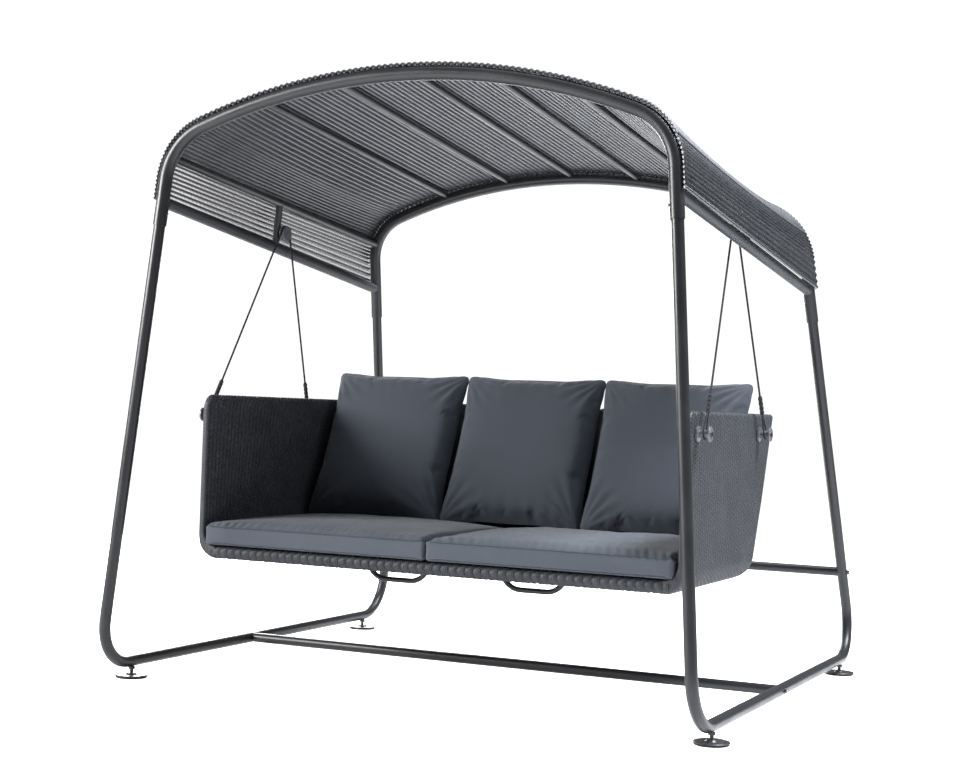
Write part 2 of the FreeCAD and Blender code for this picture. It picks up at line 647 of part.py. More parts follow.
def tub_panels():
    """The woven tub as four panels: two arms, the back and the seat."""
    wall, front, top = dim("tub_wall"), dim("tub_front"), dim("tub_top")
    outer = tub_block(0.0, top, front, dim("tub_bottom"), dim("tub_side_bend"), dim("tub_corner"),
                      (dim("arm_bend"), dim("tub_top_bend")))
    hollow = tub_block(wall, top + wall, front - wall, dim("deck_height"), dim("deck_bend"),
                       dim("deck_bend"))
    tub = outer.cut(hollow)
    for channel in tub_channels():
        tub = tub.cut(channel)
    groove = Part.makeCylinder(dim("braid_size") / 2 + 0.5, 4 * dim("tub_half_width"),
                               braid_centre(-2 * dim("tub_half_width")), Vector(1, 0, 0))
    span = dim("tub_half_width") - dim("tub_side_bend")
    gap = dim("panel_gap")
    big = 4 * dim("tub_half_width")
    seam_y = dim("tub_rear_foot") - dim("tub_rear_bend")
    seat = tub.common(slab(-span + gap, span - gap, -big, seam_y - gap, 0, big))
    seat = seat.cut(groove).cut(slab(-big, big, -big, braid_centre(0).y, 0, big))
    feature("weave_seat", seat)
    back = tub.common(slab(-span + gap, span - gap, seam_y + gap, big, 0, big))
    feature("weave_back", back)
    for name, side in SIDES:
        near, far = sorted((side * span, side * big))
        arm = tub.common(slab(near, far, -big, big, 0, big))
        feature("weave_arm_" + name, arm)


INNER = dim("tub_wall") / 2


def braid_centre(x):
    """The middle line of the braided front edge."""
    return Vector(x, dim("tub_front") + INNER + 4.0, dim("tub_bottom") + dim("braid_size") / 2 + 1.0)


def top_rail_path():
    """The rim's tube: up the front of one arm, along it, round the back and down the other arm."""
    half = dim("tub_half_width") - INNER
    y0 = dim("tub_front") + INNER
    y1 = back_y(dim("tub_top") - INNER, INNER)
    z1 = dim("tub_top") - INNER
    low = z1 - dim("back_run")
    points = [Vector(-half, y0, low), Vector(-half, y0, z1), Vector(-half, y1, z1),
              Vector(half, y1, z1), Vector(half, y0, z1), Vector(half, y0, low)]
    bend = dim("arm_bend") - INNER
    turn = dim("tub_corner") - INNER
    return bent_path(points, [bend, turn, turn, bend])


def front_hoop_path():
    """The hoop's tube: down the front of one arm, along under the seat's edge and up again."""
    half = dim("tub_half_width") - INNER
    y0 = dim("tub_front") + INNER
    high = dim("tub_top") - INNER - dim("back_run") - dim("panel_gap")
    low = braid_centre(0).z
    points = [Vector(-half, y0, high), Vector(-half, y0, low), Vector(half, y0, low),
              Vector(half, y0, high)]
    bend = dim("tub_side_bend") - INNER
    return bent_path(points, [bend, bend])


def seat_frame():
    """The tubes inside the tub's rim."""
    for label, wire, wall in (("seat_top_rail", top_rail_path(), "tube_wall"),
                              ("seat_front_hoop", front_hoop_path(), "hoop_wall")):
        tube = sweep(wire, dim("seat_tube"))
        feature(label, tube.cut(sweep(wire, dim("seat_tube") - 2 * dim(wall))))


def cut_room(panels, room):
    """Take the room that a frame tube needs out of the woven panels."""
    for panel in panels:
        panel.Shape = panel.Shape.cut(room)


def seat_ribs(panels):
    """Bent tubes from the back's top rail down under the seat, and the bar across that holds them."""
    mid_z = (dim("tub_bottom") + dim("deck_height")) / 2
    top_z = dim("tub_top") - INNER - dim("seat_tube") / 2 - 4.0
    bar_y = dim("loop_set")
    bar_half = dim("cross_bar") / 2
    for index, name in enumerate(("left", "middle", "right")):
        x = (index - 1) * dim("seat_rib_pitch")
        start = Vector(x, bar_y + bar_half + 0.5, mid_z)
        turn = Vector(x, back_y(mid_z, INNER), mid_z)
        end = Vector(x, back_y(top_z, INNER), top_z)
        wire = bent_path([start, turn, end], [dim("tub_rear_bend") - INNER])
        rib = sweep(wire, dim("rib_bar"))
        feature("seat_rib_" + name, rib.cut(sweep(wire, dim("rib_bar") - 2 * dim("rib_bar_wall"))))
        cut_room(panels, sweep(wire, dim("rib_bar") + 2 * dim("tube_clearance")))
    reach = dim("tub_half_width") - dim("tub_side_bend") - 1.0
    start, end = Vector(-reach, bar_y, mid_z), Vector(reach, bar_y, mid_z)
    straight_tube("seat_cross_bar", start, end, "cross_bar", "cross_bar_wall")
    size = bar_half + dim("tube_clearance")
    cut_room(panels, Part.makeCylinder(size, 2 * reach, start, end - start))


def front_braid():
    """The thick braided edge in front of the seat, round the hoop's tube."""
    length = 2 * (dim("tub_half_width") - dim("tub_side_bend") - dim("panel_gap"))
    start = braid_centre(-length / 2)
    roll = Part.makeCylinder(dim("braid_size") / 2, length, start, Vector(1, 0, 0))
    bore = sweep(front_hoop_path(), dim("seat_tube") + 2 * dim("tube_clearance"))
    feature("front_braid", roll.cut(bore))


def under_seat_loops():
    """Two bent round bars that hang under the seat."""
    half = dim("loop_width") / 2
    top = dim("tub_bottom") - dim("loop_clearance")
    low = dim("tub_bottom") - dim("loop_drop") + dim("loop_bar") / 2
    y = dim("loop_set")
    for name, side in SIDES:
        x = side * dim("loop_centre")
        foot = half * dim("loop_taper")
        points = [Vector(x - half, y, top), Vector(x - foot, y, low),
                  Vector(x + foot, y, low), Vector(x + half, y, top)]
        bends = [dim("loop_bend")] * 2
        feature("under_seat_loop_" + name, sweep(bent_path(points, bends), dim("loop_bar")))


# ------------------------------------------------------------------ spools and ropes

def spool_spots():
    """Names and places of the four spools on the arms."""
    for row, y in (("front", dim("front_spool")), ("rear", dim("rear_spool"))):
        for name, side in SIDES:
            yield row, name, side, Vector(side * dim("tub_half_width"), y, dim("spool_height"))


def rope_x():
    """How far out the ropes are at the arm spools."""
    return dim("tub_half_width") + dim("spool_length") / 2 + 1.0


def spools():
    """The turned spools that the rope eyes hang on, each with a screw in its end."""
    core, flange = dim("spool_core") / 2, dim("spool_flange") / 2
    wall, length = dim("spool_wall"), dim("spool_length")
    screws = []
    for row, name, side, spot in spool_spots():
        outline = [(0, 0.6), (flange, 0.6), (flange, wall), (flange - 2, wall + 1), (core, wall + 3),
                   (core, length - wall - 3), (flange - 2, length - wall - 1),
                   (flange, length - wall), (flange, length - 1.5), (flange - 1.5, length),
                   (0, length)]
        place = Placement(spot, aim(Vector(side, 0, 0)))
        label = "arm_spool_%s_%s" % (row, name)
        keep(revolved(label, outline, place), label)
        end = spot + Vector(side * (length + 0.1), 0, 0)
        head = Part.makeCylinder(dim("screw_head"), dim("screw_head_height"), end, Vector(side, 0, 0))
        socket = Part.Face(Part.makePolygon([Rotation(Vector(0, 0, 1), 60 * turn)
                                             .multVec(Vector(dim("key_size") / 2, 0, 0))
                                             for turn in range(7)]))
        key = socket.extrude(Vector(0, 0, dim("key_depth")))
        key.Placement = Placement(end + Vector(side * dim("screw_edge"), 0, 0),
                                  aim(Vector(side, 0, 0)))
        screws.append(head.cut(key))
    feature("spool_screws", Part.makeCompound(screws))


def tangent_spots(centre, radius, point):
    """The two places where lines from a point touch a circle, in the plane of Y and Z."""
    dy, dz = point.y - centre.y, point.z - centre.z
    reach = math.hypot(dy, dz)
    heading = math.atan2(dz, dy)
    open_angle = math.acos(radius / reach)
    return [Vector(centre.x, centre.y + radius * math.cos(heading + turn * open_angle),
                   centre.z + radius * math.sin(heading + turn * open_angle)) for turn in (1, -1)]


def tangent_on(centre, radius, point, side):
    """The tangent spot that lies on a given side of the circle."""
    return max(tangent_spots(centre, radius, point), key=lambda spot: (spot - centre).dot(side))


def ropes():
    """The hanging ropes: each passes over its top hub and ends in an eye round each arm spool."""
    wrap = dim("hub_core") / 2 + dim("rope_gap") + dim("rope_size") / 2
    eye_radius = dim("spool_core") / 2 + dim("rope_gap") + dim("eye_rope") / 2
    for name, side in SIDES:
        hub = Vector(0, HUB.y, HUB.z)
        lean = (rope_x() - HUB.x) / (HUB.z - dim("spool_height"))

        def out(point):
            return Vector(side * (HUB.x + (HUB.z - point.z) * lean), point.y, point.z)

        feet_at = [Vector(0, dim("front_spool"), dim("spool_height")),
                   Vector(0, dim("rear_spool"), dim("spool_height"))]
        tips, sleeves, eyes = [], [], []
        for foot, turn in zip(feet_at, (-1, 1)):
            heading = (hub - foot).normalize()
            throat = foot + heading * dim("splice_rise")
            touch = tangent_on(hub, wrap, throat, Vector(0, turn, 0))
            tips.append((throat + heading * dim("rope_gap"), touch))
            along = (touch - throat).normalize()
            low = out(throat + along * 2 * dim("rope_gap"))
            high = out(throat + along * dim("splice_length"))
            sleeve = Part.makeCylinder(dim("splice_size") / 2, (high - low).Length, low, high - low)
            bore = Part.makeCylinder(dim("rope_size") / 2 + dim("rope_gap"), 400,
                                     low - (high - low), high - low)
            sleeves.append(sleeve.cut(bore))
            across = Vector(0, -heading.z, heading.y)
            aside = across * (dim("eye_rope") / 2 + dim("rope_gap"))
            near = tangent_on(foot, eye_radius, throat + aside, across)
            far = tangent_on(foot, eye_radius, throat - aside, -across)
            bottom = foot - heading * eye_radius
            loop = Part.Wire([Part.LineSegment(out(throat + aside), out(near)).toShape(),
                              Part.Arc(out(near), out(bottom), out(far)).toShape(),
                              Part.LineSegment(out(far), out(throat - aside)).toShape()])
            eyes.append(sweep(loop, dim("eye_rope")))
        (front_throat, front_touch), (rear_throat, rear_touch) = tips
        crest = hub + Vector(0, 0, wrap)
        run = Part.Wire([Part.LineSegment(out(front_throat), out(front_touch)).toShape(),
                         Part.Arc(out(front_touch), out(crest), out(rear_touch)).toShape(),
                         Part.LineSegment(out(rear_touch), out(rear_throat)).toShape()])
        feature("rope_" + name, Part.makeCompound([sweep(run, dim("rope_size"))] + eyes))
        feature("rope_splices_" + name, Part.makeCompound(sleeves))


# ------------------------------------------------------------------ cushions

def rounded_box(label, width, depth, height, edge, wall=None):
    """A rounded box with its sizes tied to the sheet, drawn in all round by a wall."""
    less = " - 2 * dims." + wall if wall else ""
    box = doc.addObject("Part::Box", label + "_block")
    bind(box, Length="dims." + width + less, Width="dims." + depth + less,
         Height="dims." + height + less)
    if wall:
        box.Placement = Placement(Vector(dim(wall), dim(wall), dim(wall)), Rotation())
    doc.recompute()
    round_off = doc.addObject("Part::Fillet", label)
    round_off.Base = box
    radius = dim(edge) - (dim(wall) if wall else 0.0)
    round_off.Edges = [(index + 1, radius, radius) for index in range(len(box.Shape.Edges))]
    return round_off


def cushion(label, sizes, placement):
    """A cushion's closed cover: a rounded box with a thin wall, empty where the filling is."""
    cover = doc.addObject("Part::Cut", label)
    cover.Base = rounded_box(label + "_outside", *sizes)
    cover.Tool = rounded_box(label + "_inside", *sizes, wall="cover_wall")
    cover.Placement = placement
    return keep(cover, label)


def cushions():
    """Two seat cushions side by side and three back cushions that lean on the tub's back."""
    for name, side in SIDES:
        x = side * 4.0 if side > 0 else -4.0 - dim("seat_cushion_width")
        spot = Vector(x, dim("seat_cushion_front"), dim("deck_height") + 0.6)
        cushion("seat_cushion_" + name, SEAT_CUSHION, Placement(spot, Rotation()))
    base = dim("back_cushion_lift")
    tilt = Rotation(Vector(1, 0, 0), -dim("tub_recline"))
    depth = dim("back_cushion_depth")
    ahead = tilt.multVec(Vector(0, -depth - 2.0, 0))
    rear = Vector(0, back_y(base, dim("tub_wall")), base)
    for name, centre in BACK_CUSHIONS:
        spot = rear + ahead + Vector(centre - dim("back_cushion_width") / 2, 0, 0)
        cushion("back_cushion_" + name, BACK_CUSHION, Placement(spot, tilt))


# ------------------------------------------------------------------ build

frames = [(leg_frame(name, side), side) for name, side in SIDES]
doc.recompute()
drill_rails(frames)
arch("front", FRONT_ARCH, dim("front_sleeve_height"))
arch("rear", REAR_ARCH, dim("rear_sleeve_height"))
canopy_frame()
canopy_weave()
doc.recompute()
stretchers()
sleeve_screws()
feet()
hubs()
tub_panels()
seat_frame()
seat_ribs([node for node in NODES if node.Label in ("weave_seat", "weave_back")])
front_braid()
under_seat_loops()
spools()
ropes()
cushions()
doc.recompute()

for item in doc.Objects:
    if "Invalid" in item.State or "Error" in item.State:
        raise RuntimeError("%s did not build: %s" % (item.Name, item.State))
os.makedirs("parts", exist_ok=True)
for node in NODES:
    shape = node.Shape
    if shape.isNull() or not shape.isValid() or not shape.Solids:
        raise RuntimeError("%s has no sound solid" % node.Label)
    shape.exportStep("parts/%s.step" % node.Label)
    print("%-26s solids %d  volume %10.0f mm3" % (node.Label, len(shape.Solids), shape.Volume))
print(len(NODES), "sub-parts")
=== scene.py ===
import json
import math

import bpy
import numpy as np
from bpy.props import FloatProperty, FloatVectorProperty, IntProperty, PointerProperty
from mathutils import Matrix, Vector
from mathutils.bvhtree import BVHTree


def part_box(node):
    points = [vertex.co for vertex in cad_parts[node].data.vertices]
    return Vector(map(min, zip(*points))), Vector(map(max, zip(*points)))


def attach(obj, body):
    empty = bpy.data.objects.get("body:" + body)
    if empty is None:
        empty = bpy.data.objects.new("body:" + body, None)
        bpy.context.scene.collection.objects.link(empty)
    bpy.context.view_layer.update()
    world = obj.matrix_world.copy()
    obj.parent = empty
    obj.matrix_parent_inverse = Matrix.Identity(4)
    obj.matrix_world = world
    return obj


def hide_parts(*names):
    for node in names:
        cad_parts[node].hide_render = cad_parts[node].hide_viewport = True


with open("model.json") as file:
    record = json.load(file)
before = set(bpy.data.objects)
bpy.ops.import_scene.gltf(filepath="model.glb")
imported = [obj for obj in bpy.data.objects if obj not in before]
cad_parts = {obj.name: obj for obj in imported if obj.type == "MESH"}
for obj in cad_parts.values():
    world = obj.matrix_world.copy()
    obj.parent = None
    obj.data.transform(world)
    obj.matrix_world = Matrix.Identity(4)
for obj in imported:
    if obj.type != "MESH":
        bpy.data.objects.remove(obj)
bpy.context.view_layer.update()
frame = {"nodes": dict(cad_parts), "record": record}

bl_info = {
    "name": "Canopy Swing Bench",
    "version": (1, 0, 0),
    "blender": (4, 5, 0),
    "location": "View3D > Sidebar > Swing Bench",
    "description": "Weaves, upholsters, ropes and finishes a canopy swing bench round its fixed frame",
    "category": "Object",
}

SIDES = (("left", -1), ("right", 1))
BACK_NAMES = ("left", "middle", "right")


def length(name, default, description):
    """A size in metres for a PropertyGroup."""
    return FloatProperty(name=name, description=description, default=default, min=0.0,
                         unit="LENGTH", subtype="DISTANCE", precision=4)


def place_of(name, default, description):
    """A coordinate in metres, which may be negative."""
    return FloatProperty(name=name, description=description, default=default,
                         unit="LENGTH", subtype="DISTANCE", precision=4)


def angle(name, default, description):
    """An angle, given in degrees and kept in radians."""
    return FloatProperty(name=name, description=description, default=math.radians(default),
                         unit="ROTATION", subtype="ANGLE")


def tint(name, default, description):
    """A plain colour."""
    return FloatVectorProperty(name=name, description=description, default=default, size=3,
                               min=0.0, max=1.0, subtype="COLOR")


# ------------------------------------------------------------------ sizes and colours

class CanopySizes(bpy.types.PropertyGroup):
    half_span: length("Half span", 1.0075, "From the middle to a floor rail")
    lean: angle("Lean", 4.785, "How far the leg frames lean in")
    rail_height: length("Rail height", 0.056, "Height of the floor rails' middle")
    front_foot: place_of("Front corner", -0.98125, "Where the front legs' line meets the rails")
    rear_foot: place_of("Rear corner", 1.02475, "Where the rear legs' line meets the rails")
    front_rake: angle("Front rake", 2.91, "How far the front legs rake back")
    rear_rake: angle("Rear rake", 16.55, "How far the rear legs rake forward")
    crown_radius: length("Crown radius", 2.07, "Radius of the arches' wide curve")
    corner_radius: length("Corner radius", 0.2, "Radius of the arches' shoulder bends")
    front_crown: length("Front crown", 1.962, "Height of the front arch")
    rear_crown: length("Rear crown", 1.827, "Height of the rear arch")
    pitch: angle("Canopy pitch", 5.8, "Fall of the canopy towards the back")
    front_end: length("Front end rail", 1.58, "Height of the end rails at the front arch")
    rear_end: length("Rear end rail", 1.412, "Height of the end rails at the rear arch")
    wrap: length("Wrap radius", 0.0269, "From an arch's middle to the strands' middle")
    front_turn: angle("Front turn-down", 21.0, "How far the strands turn down over the front arch")
    rear_turn: angle("Rear turn-down", 45.0, "How far the strands turn down over the rear arch")
    strand: length("Strand", 0.0086, "Thickness of a canopy strand")
    strand_pitch: length("Strand pitch", 0.0138, "Distance from strand to strand at the ends")
    crown_pitch: length("Crown pitch", 0.0205, "Distance from strand to strand on the crown")
    weft: length("Cross thread", 0.0060, "Thickness of a cross thread")
    end_weft: length("End thread", 0.0030, "Thickness of a cross thread in the end panels")
    weft_pitch: length("Cross thread pitch", 0.0078, "Distance between cross threads")
    sag: length("Shoulder sag", 0.034, "How far the weave draws in between the shoulders")
    rail_strand: length("Rail strand", 0.0072, "Thickness of the strand wound on the end rails")
    rail_core: length("Rail core", 0.019, "Radius of a wound end rail over its winding")
    rail_inset: length("Rail inset", 0.020, "From an arch's middle to the start of the winding")


class TubSizes(bpy.types.PropertyGroup):
    half_width: length("Half width", 0.865, "From the middle to an arm's outer face")
    bottom: length("Bottom", 0.4, "Height of the tub's underside")
    deck: length("Deck", 0.448, "Height of the woven seat")
    top: length("Top", 0.957, "Height of the tub's rim")
    front: place_of("Front", -0.651, "Front face of the arms")
    rear_foot: place_of("Rear foot", 0.134, "Outer face of the back at the underside")
    recline: angle("Recline", 21.1, "How far the back leans")
    wall: length("Wall", 0.028, "Thickness of the woven walls")
    side_bend: length("Side bend", 0.07, "Radius from the walls to the underside")
    corner: length("Corner", 0.06, "Radius of the rear corners")
    corner_foot: length("Corner foot", 0.078, "Radius of the rear corners at the underside")
    arm_bend: length("Arm bend", 0.055, "Radius of the arms' front corners")
    deck_bend: length("Deck bend", 0.050, "Radius from the walls to the deck")
    stake_pitch: length("Stake pitch", 0.0208, "Distance between the upright stakes")
    row_pitch: length("Row pitch", 0.0065, "Height of one woven row")
    weave_swing: length("Weave swing", 0.0028, "How far a strand bows out between its stakes")
    weave_dip: length("Weave dip", 0.0030, "How far every other strand dips behind a stake")
    strand_round: length("Strand round", 0.002, "How far a strand's middle stands proud")
    skin_set: length("Skin set", 0.0034, "How far the seat's skins lie inside its faces")
    tuck_in: length("Tuck in", 0.012, "How far the seat's rear edges tuck under the back")
    braid: length("Braid", 0.046, "Thickness of the braided front edge")
    braid_pitch: length("Braid pitch", 0.0285, "Length of one turn of the braid")
    braid_lobe: length("Braid lobe", 0.0046, "How far the braid's turns stand out")
    braid_ridge: length("Braid ridge", 0.0014, "How far single strands stand out on the braid")
    braid_overrun: length("Braid overrun", 0.020, "How far the braid reaches into each arm")


class CushionSizes(bpy.types.PropertyGroup):
    seat_width: length("Seat width", 0.822, "Width of a seat cushion")
    seat_depth: length("Seat depth", 0.724, "Depth of a seat cushion")
    seat_height: length("Seat height", 0.066, "Height of a seat cushion's sides")
    back_size: length("Back size", 0.540, "Side of a back cushion")
    back_stretch: length("Back sit", 0.036, "How far a back cushion reaches down to the seat")
    back_ahead: length("Back ahead", 0.025, "How far a back cushion's seam lies before its middle")
    back_depth: length("Back depth", 0.15, "Thickness of a back cushion")
    piping: length("Piping", 0.0052, "Thickness of the sewn edges")
    voxel: length("Cloth grid", 0.006, "Grid of the simulated cloth")
    pressure: FloatProperty(name="Filling", description="Pressure of the filling", default=4.0,
                            min=0.0, max=20.0)
    frames: IntProperty(name="Frames", description="Length of the cloth simulation", default=20,
                        min=1, max=60)
    swell: length("Swell", 0.024, "The most that a cushion may swell")
    crown: length("Crown", 0.020, "How much higher a seat cushion's middle is than its sides")
    gather: length("Gather", 0.0034, "Height of the gathers along a seat cushion's front seam")
    wave: length("Wave", 0.0032, "Height of the slow unevenness of a seat cushion's top")
    crease: length("Crease", 0.0052, "Depth of the creases at a back cushion's corners")
    seam_gather: length("Seam gather", 0.0036, "Depth of the gathers along a back cushion's seams")
    dent: length("Dent", 0.0060, "Depth of the slow unevenness of a back cushion's faces")


class RopeSizes(bpy.types.PropertyGroup):
    rope: length("Rope", 0.007, "Thickness of the hanging ropes")
    eye: length("Eye", 0.005, "Thickness of the rope round a spool")
    splice: length("Splice", 0.0155, "Thickness of a lashed splice")
    splice_length: length("Splice length", 0.064, "Length of a lashed splice")
    splice_rise: length("Splice rise", 0.076, "From a spool's middle to its splice")
    hub_core: length("Hub core", 0.046, "Thickness of the top hubs")
    spool_core: length("Spool core", 0.026, "Thickness of the arm spools")
    lay: length("Lay", 0.022, "Length of one turn of the rope's plait")
    hub_half: length("Hub half", 0.0062, "From a hub cap's outer face to the rope's middle")
    spool_shift: length("Spool shift", 0.0012, "From an arm spool's middle to the rope's middle")
    tuck: length("Tuck", 0.012, "How far an eye's ends run up into the splice")
    lashing: length("Lashing", 0.016, "Length of one turn of a splice's lashing")


class FinishColours(bpy.types.PropertyGroup):
    tube: tint("Tubes", (0.013, 0.0135, 0.016), "Powder coat on the tubes")
    canopy: tint("Canopy strands", (0.046, 0.048, 0.056), "Plastic strands of the canopy")
    # Painted shade: the cross threads are given a darker colour than the strands so that the gaps between
    # the strands look shaded.
    thread: tint("Canopy cross threads", (0.026, 0.027, 0.032), "Plastic threads of the canopy")
    tub: tint("Seat strands", (0.026, 0.028, 0.033), "Plastic strands of the seat")
    # Painted light and shade: the seat and back cushions are one fabric; the seat colour is lighter as
    # painted light from above and the back colour darker as painted shade.
    seat_cloth_painted_light: tint("Seat cloth", (0.066, 0.076, 0.093), "Cloth of the seat cushions")
    back_cloth_painted_shade: tint("Back cloth", (0.046, 0.053, 0.066), "Cloth of the back cushions")
    piping: tint("Piping", (0.040, 0.046, 0.058), "Cloth of the sewn edges")
    rope: tint("Rope", (0.022, 0.022, 0.025), "The hanging ropes")
    steel: tint("Spools", (0.085, 0.087, 0.094), "Polished steel of the spools")
    foot: tint("Feet", (0.022, 0.023, 0.026), "Coated discs of the feet")
    rubber: tint("Rubber", (0.008, 0.008, 0.008), "Pads under the feet")
    floor: tint("Floor", (0.86, 0.86, 0.86), "The studio floor")


class StageSizes(bpy.types.PropertyGroup):
    reach: length("Floor reach", 30.0, "Size of the studio floor")
    camera_turn: angle("Camera turn", 24.39, "How far the camera is turned to the bench's left")
    camera_pitch: angle("Camera pitch", 0.60, "How far the camera looks up")
    camera_roll: angle("Camera roll", 2.04, "How far the camera is rolled")
    camera_x: place_of("Camera X", 2.4366, "Where the camera stands")
    camera_y: place_of("Camera Y", -5.6121, "Where the camera stands")
    camera_z: place_of("Camera Z", 0.9373, "Where the camera stands")
    lens: FloatProperty(name="Lens", description="Focal length in millimetres", default=64.19,
                        min=10.0, max=300.0, subtype="DISTANCE_CAMERA")


GROUPS = (("bench_canopy", CanopySizes), ("bench_tub", TubSizes), ("bench_cushions", CushionSizes),
          ("bench_ropes", RopeSizes), ("bench_finish", FinishColours), ("bench_stage", StageSizes))


# ------------------------------------------------------------------ mesh helpers

def deselect():
    """Leave nothing selected and no mode but object mode."""
    if bpy.context.object and bpy.context.object.mode != "OBJECT":
        bpy.ops.object.mode_set(mode="OBJECT")
    bpy.ops.object.select_all(action="DESELECT")


def pick(piece):
    """Select one object and make it the active one."""
    deselect()
    piece.select_set(True)
    bpy.context.view_layer.objects.active = piece


def coords(piece):
    """A mesh's vertices as an array."""
    flat = np.empty(len(piece.data.vertices) * 3, np.float32)
    piece.data.vertices.foreach_get("co", flat)
    return flat.reshape(-1, 3).astype(float)


def set_coords(piece, places):
    """Move a mesh's vertices to new places."""
    piece.data.vertices.foreach_set("co", np.asarray(places, np.float32).ravel())
    piece.data.update()


def tidy_mesh(piece, distance=1e-5, turn_out=False):
    """Merge doubles, turn faces outwards where asked, and shade smooth."""
    pick(piece)
    bpy.ops.object.mode_set(mode="EDIT")
    bpy.ops.mesh.select_all(action="SELECT")
    bpy.ops.mesh.remove_doubles(threshold=distance)
    if turn_out:
        bpy.ops.mesh.normals_make_consistent(inside=False)
    bpy.ops.object.mode_set(mode="OBJECT")
    bpy.ops.object.shade_smooth()
    deselect()


def apply_modifiers(piece):
    """Apply every modifier of a piece in order."""
    pick(piece)
    for modifier in list(piece.modifiers):
        bpy.ops.object.modifier_apply(modifier=modifier.name)
    deselect()


def join(pieces, name):
    """Several meshes made into one piece."""
    deselect()
    for piece in pieces:
        piece.select_set(True)
    bpy.context.view_layer.objects.active = pieces[0]
    bpy.ops.object.join()
    made = bpy.context.view_layer.objects.active
    made.name = name
    made.data.name = name
    deselect()
    return made


def shaped_grid(name, across, along, place):
    """A grid primitive whose vertices go where place says, from their column and row numbers."""
    deselect()
    bpy.ops.mesh.primitive_grid_add(x_subdivisions=across, y_subdivisions=along, size=2.0)
    piece = bpy.context.object
    piece.name = name
    piece.data.name = name
    flat = coords(piece)
    columns = np.rint((flat[:, 0] + 1) / 2 * across).astype(int)
    rows = np.rint((flat[:, 1] + 1) / 2 * along).astype(int)
    table = place(np.arange(across + 1), np.arange(along + 1))
    set_coords(piece, table[columns, rows])
    tidy_mesh(piece)
    return piece


def normals_of(table):
    """The normals of a grid of points, by its rows and columns."""
    normal = np.cross(np.gradient(table, axis=0), np.gradient(table, axis=1))
    size = np.linalg.norm(normal, axis=2, keepdims=True)
    return normal / np.maximum(size, 1e-12)


def evenly(points, step):
    """A polyline's points again, evenly spaced."""
    points = np.asarray(points, float)
    lengths = np.linalg.norm(np.diff(points, axis=0), axis=1)
    marks = np.concatenate([[0.0], np.cumsum(lengths)])
    count = max(2, int(round(marks[-1] / step)) + 1)
    wanted = np.linspace(0, marks[-1], count)
    return np.stack([np.interp(wanted, marks, points[:, axis]) for axis in range(3)], axis=1), wanted


def dressed_tube(name, points, step, sides, dress):
    """A closed round piece along a line, its radius given by dress from the angle and distance."""
    line, marks = evenly(points, step)
    tangent = np.gradient(line, axis=0)
    tangent /= np.linalg.norm(tangent, axis=1, keepdims=True)
    side = np.cross(tangent[0], (0.0, 0.0, 1.0))
    if np.linalg.norm(side) < 0.1:
        side = np.cross(tangent[0], (1.0, 0.0, 0.0))
    frames = []
    for way in tangent:
        side = side - way * np.dot(side, way)
        side /= np.linalg.norm(side)
        frames.append((side, np.cross(way, side)))
    first, second = (np.array([pair[index] for pair in frames]) for index in (0, 1))

    def place(columns, rows):
        turn = columns[:, None] / sides * 2 * math.pi
        index = np.clip(rows - 1, 0, len(line) - 1)
        radius = dress(turn, marks[index][None, :])
        radius = np.where((rows == 0) | (rows == len(line) + 1), 0.0, radius)[:, :, None]
        return (line[index][None, :, :] + radius * (np.cos(turn)[:, :, None] * first[index][None]
                                                    + np.sin(turn)[:, :, None] * second[index][None]))

    piece = shaped_grid(name, sides, len(line) + 1, place)
    tidy_mesh(piece, 1e-6, turn_out=True)
    return piece


def strand_bundle(name, paths, thickness, roundness):
    """Many round strands as one mesh, each along its own line of points."""
    curve = bpy.data.curves.new(name, "CURVE")
    curve.dimensions = "3D"
    curve.bevel_depth = thickness / 2
    curve.bevel_resolution = roundness
    curve.use_fill_caps = True
    for path in paths:
        spline = curve.splines.new("POLY")
        spline.points.add(len(path) - 1)
        spline.points.foreach_set("co", np.c_[path, np.ones(len(path))].astype(np.float32).ravel())
    piece = bpy.data.objects.new(name, curve)
    bpy.context.scene.collection.objects.link(piece)
    pick(piece)
    bpy.ops.object.convert(target="MESH")
    piece = bpy.context.object
    bpy.ops.object.shade_smooth()
    deselect()
    return piece


def hang(piece, body, material, nodes=()):
    """Finish a piece: give it its material and the body it rides on, and hide the parts that it replaces.
    """
    piece.data.materials.clear()
    piece.data.materials.append(material)
    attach(piece, body)
    if nodes:
        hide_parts(*nodes)


def jitter(count, seed):
    """Even-handed small numbers from -1 to 1, the same each time."""
    return np.random.default_rng(seed).uniform(-1, 1, count)


# ------------------------------------------------------------------ shader helpers

def new_node(tree, kind, links=(), **settings):
    """A shader node with its settings, its inputs set or linked by name."""
    node = tree.nodes.new(kind)
    for name, value in settings.items():
        setattr(node, name, value)
    for socket, value in dict(links).items():
        target = node.inputs[socket]
        if isinstance(value, bpy.types.NodeSocket):
            tree.links.new(value, target)
        else:
            target.default_value = value
    return node


def sums(tree, operation, first, second):
    """The result of one arithmetic step."""
    return new_node(tree, "ShaderNodeMath", {0: first, 1: second}, operation=operation).outputs[0]


def mixed(tree, share, first, second):
    """One colour mixed into another."""
    node = new_node(tree, "ShaderNodeMix", data_type="RGBA")
    for socket, value in ((0, share), (6, first), (7, second)):
        if isinstance(value, bpy.types.NodeSocket):
            tree.links.new(value, node.inputs[socket])
        else:
            node.inputs[socket].default_value = value
    return node.outputs[2]


def noise(tree, place, scale, detail):
    """The value of a noise through space."""
    node = new_node(tree, "ShaderNodeTexNoise", {"Vector": place, "Scale": scale, "Detail": detail})
    return node.outputs[0]


def times(tree, first, second):
    """Two vectors multiplied, part by part."""
    node = new_node(tree, "ShaderNodeVectorMath", {0: first, 1: second}, operation="MULTIPLY")
    return node.outputs[0]


def spread(tree, value, low, high, low_out=0.0, high_out=1.0):
    """A value mapped from one range to another, held at the ends."""
    node = new_node(tree, "ShaderNodeMapRange", {0: value, 1: low, 2: high, 3: low_out, 4: high_out})
    return node.outputs[0]


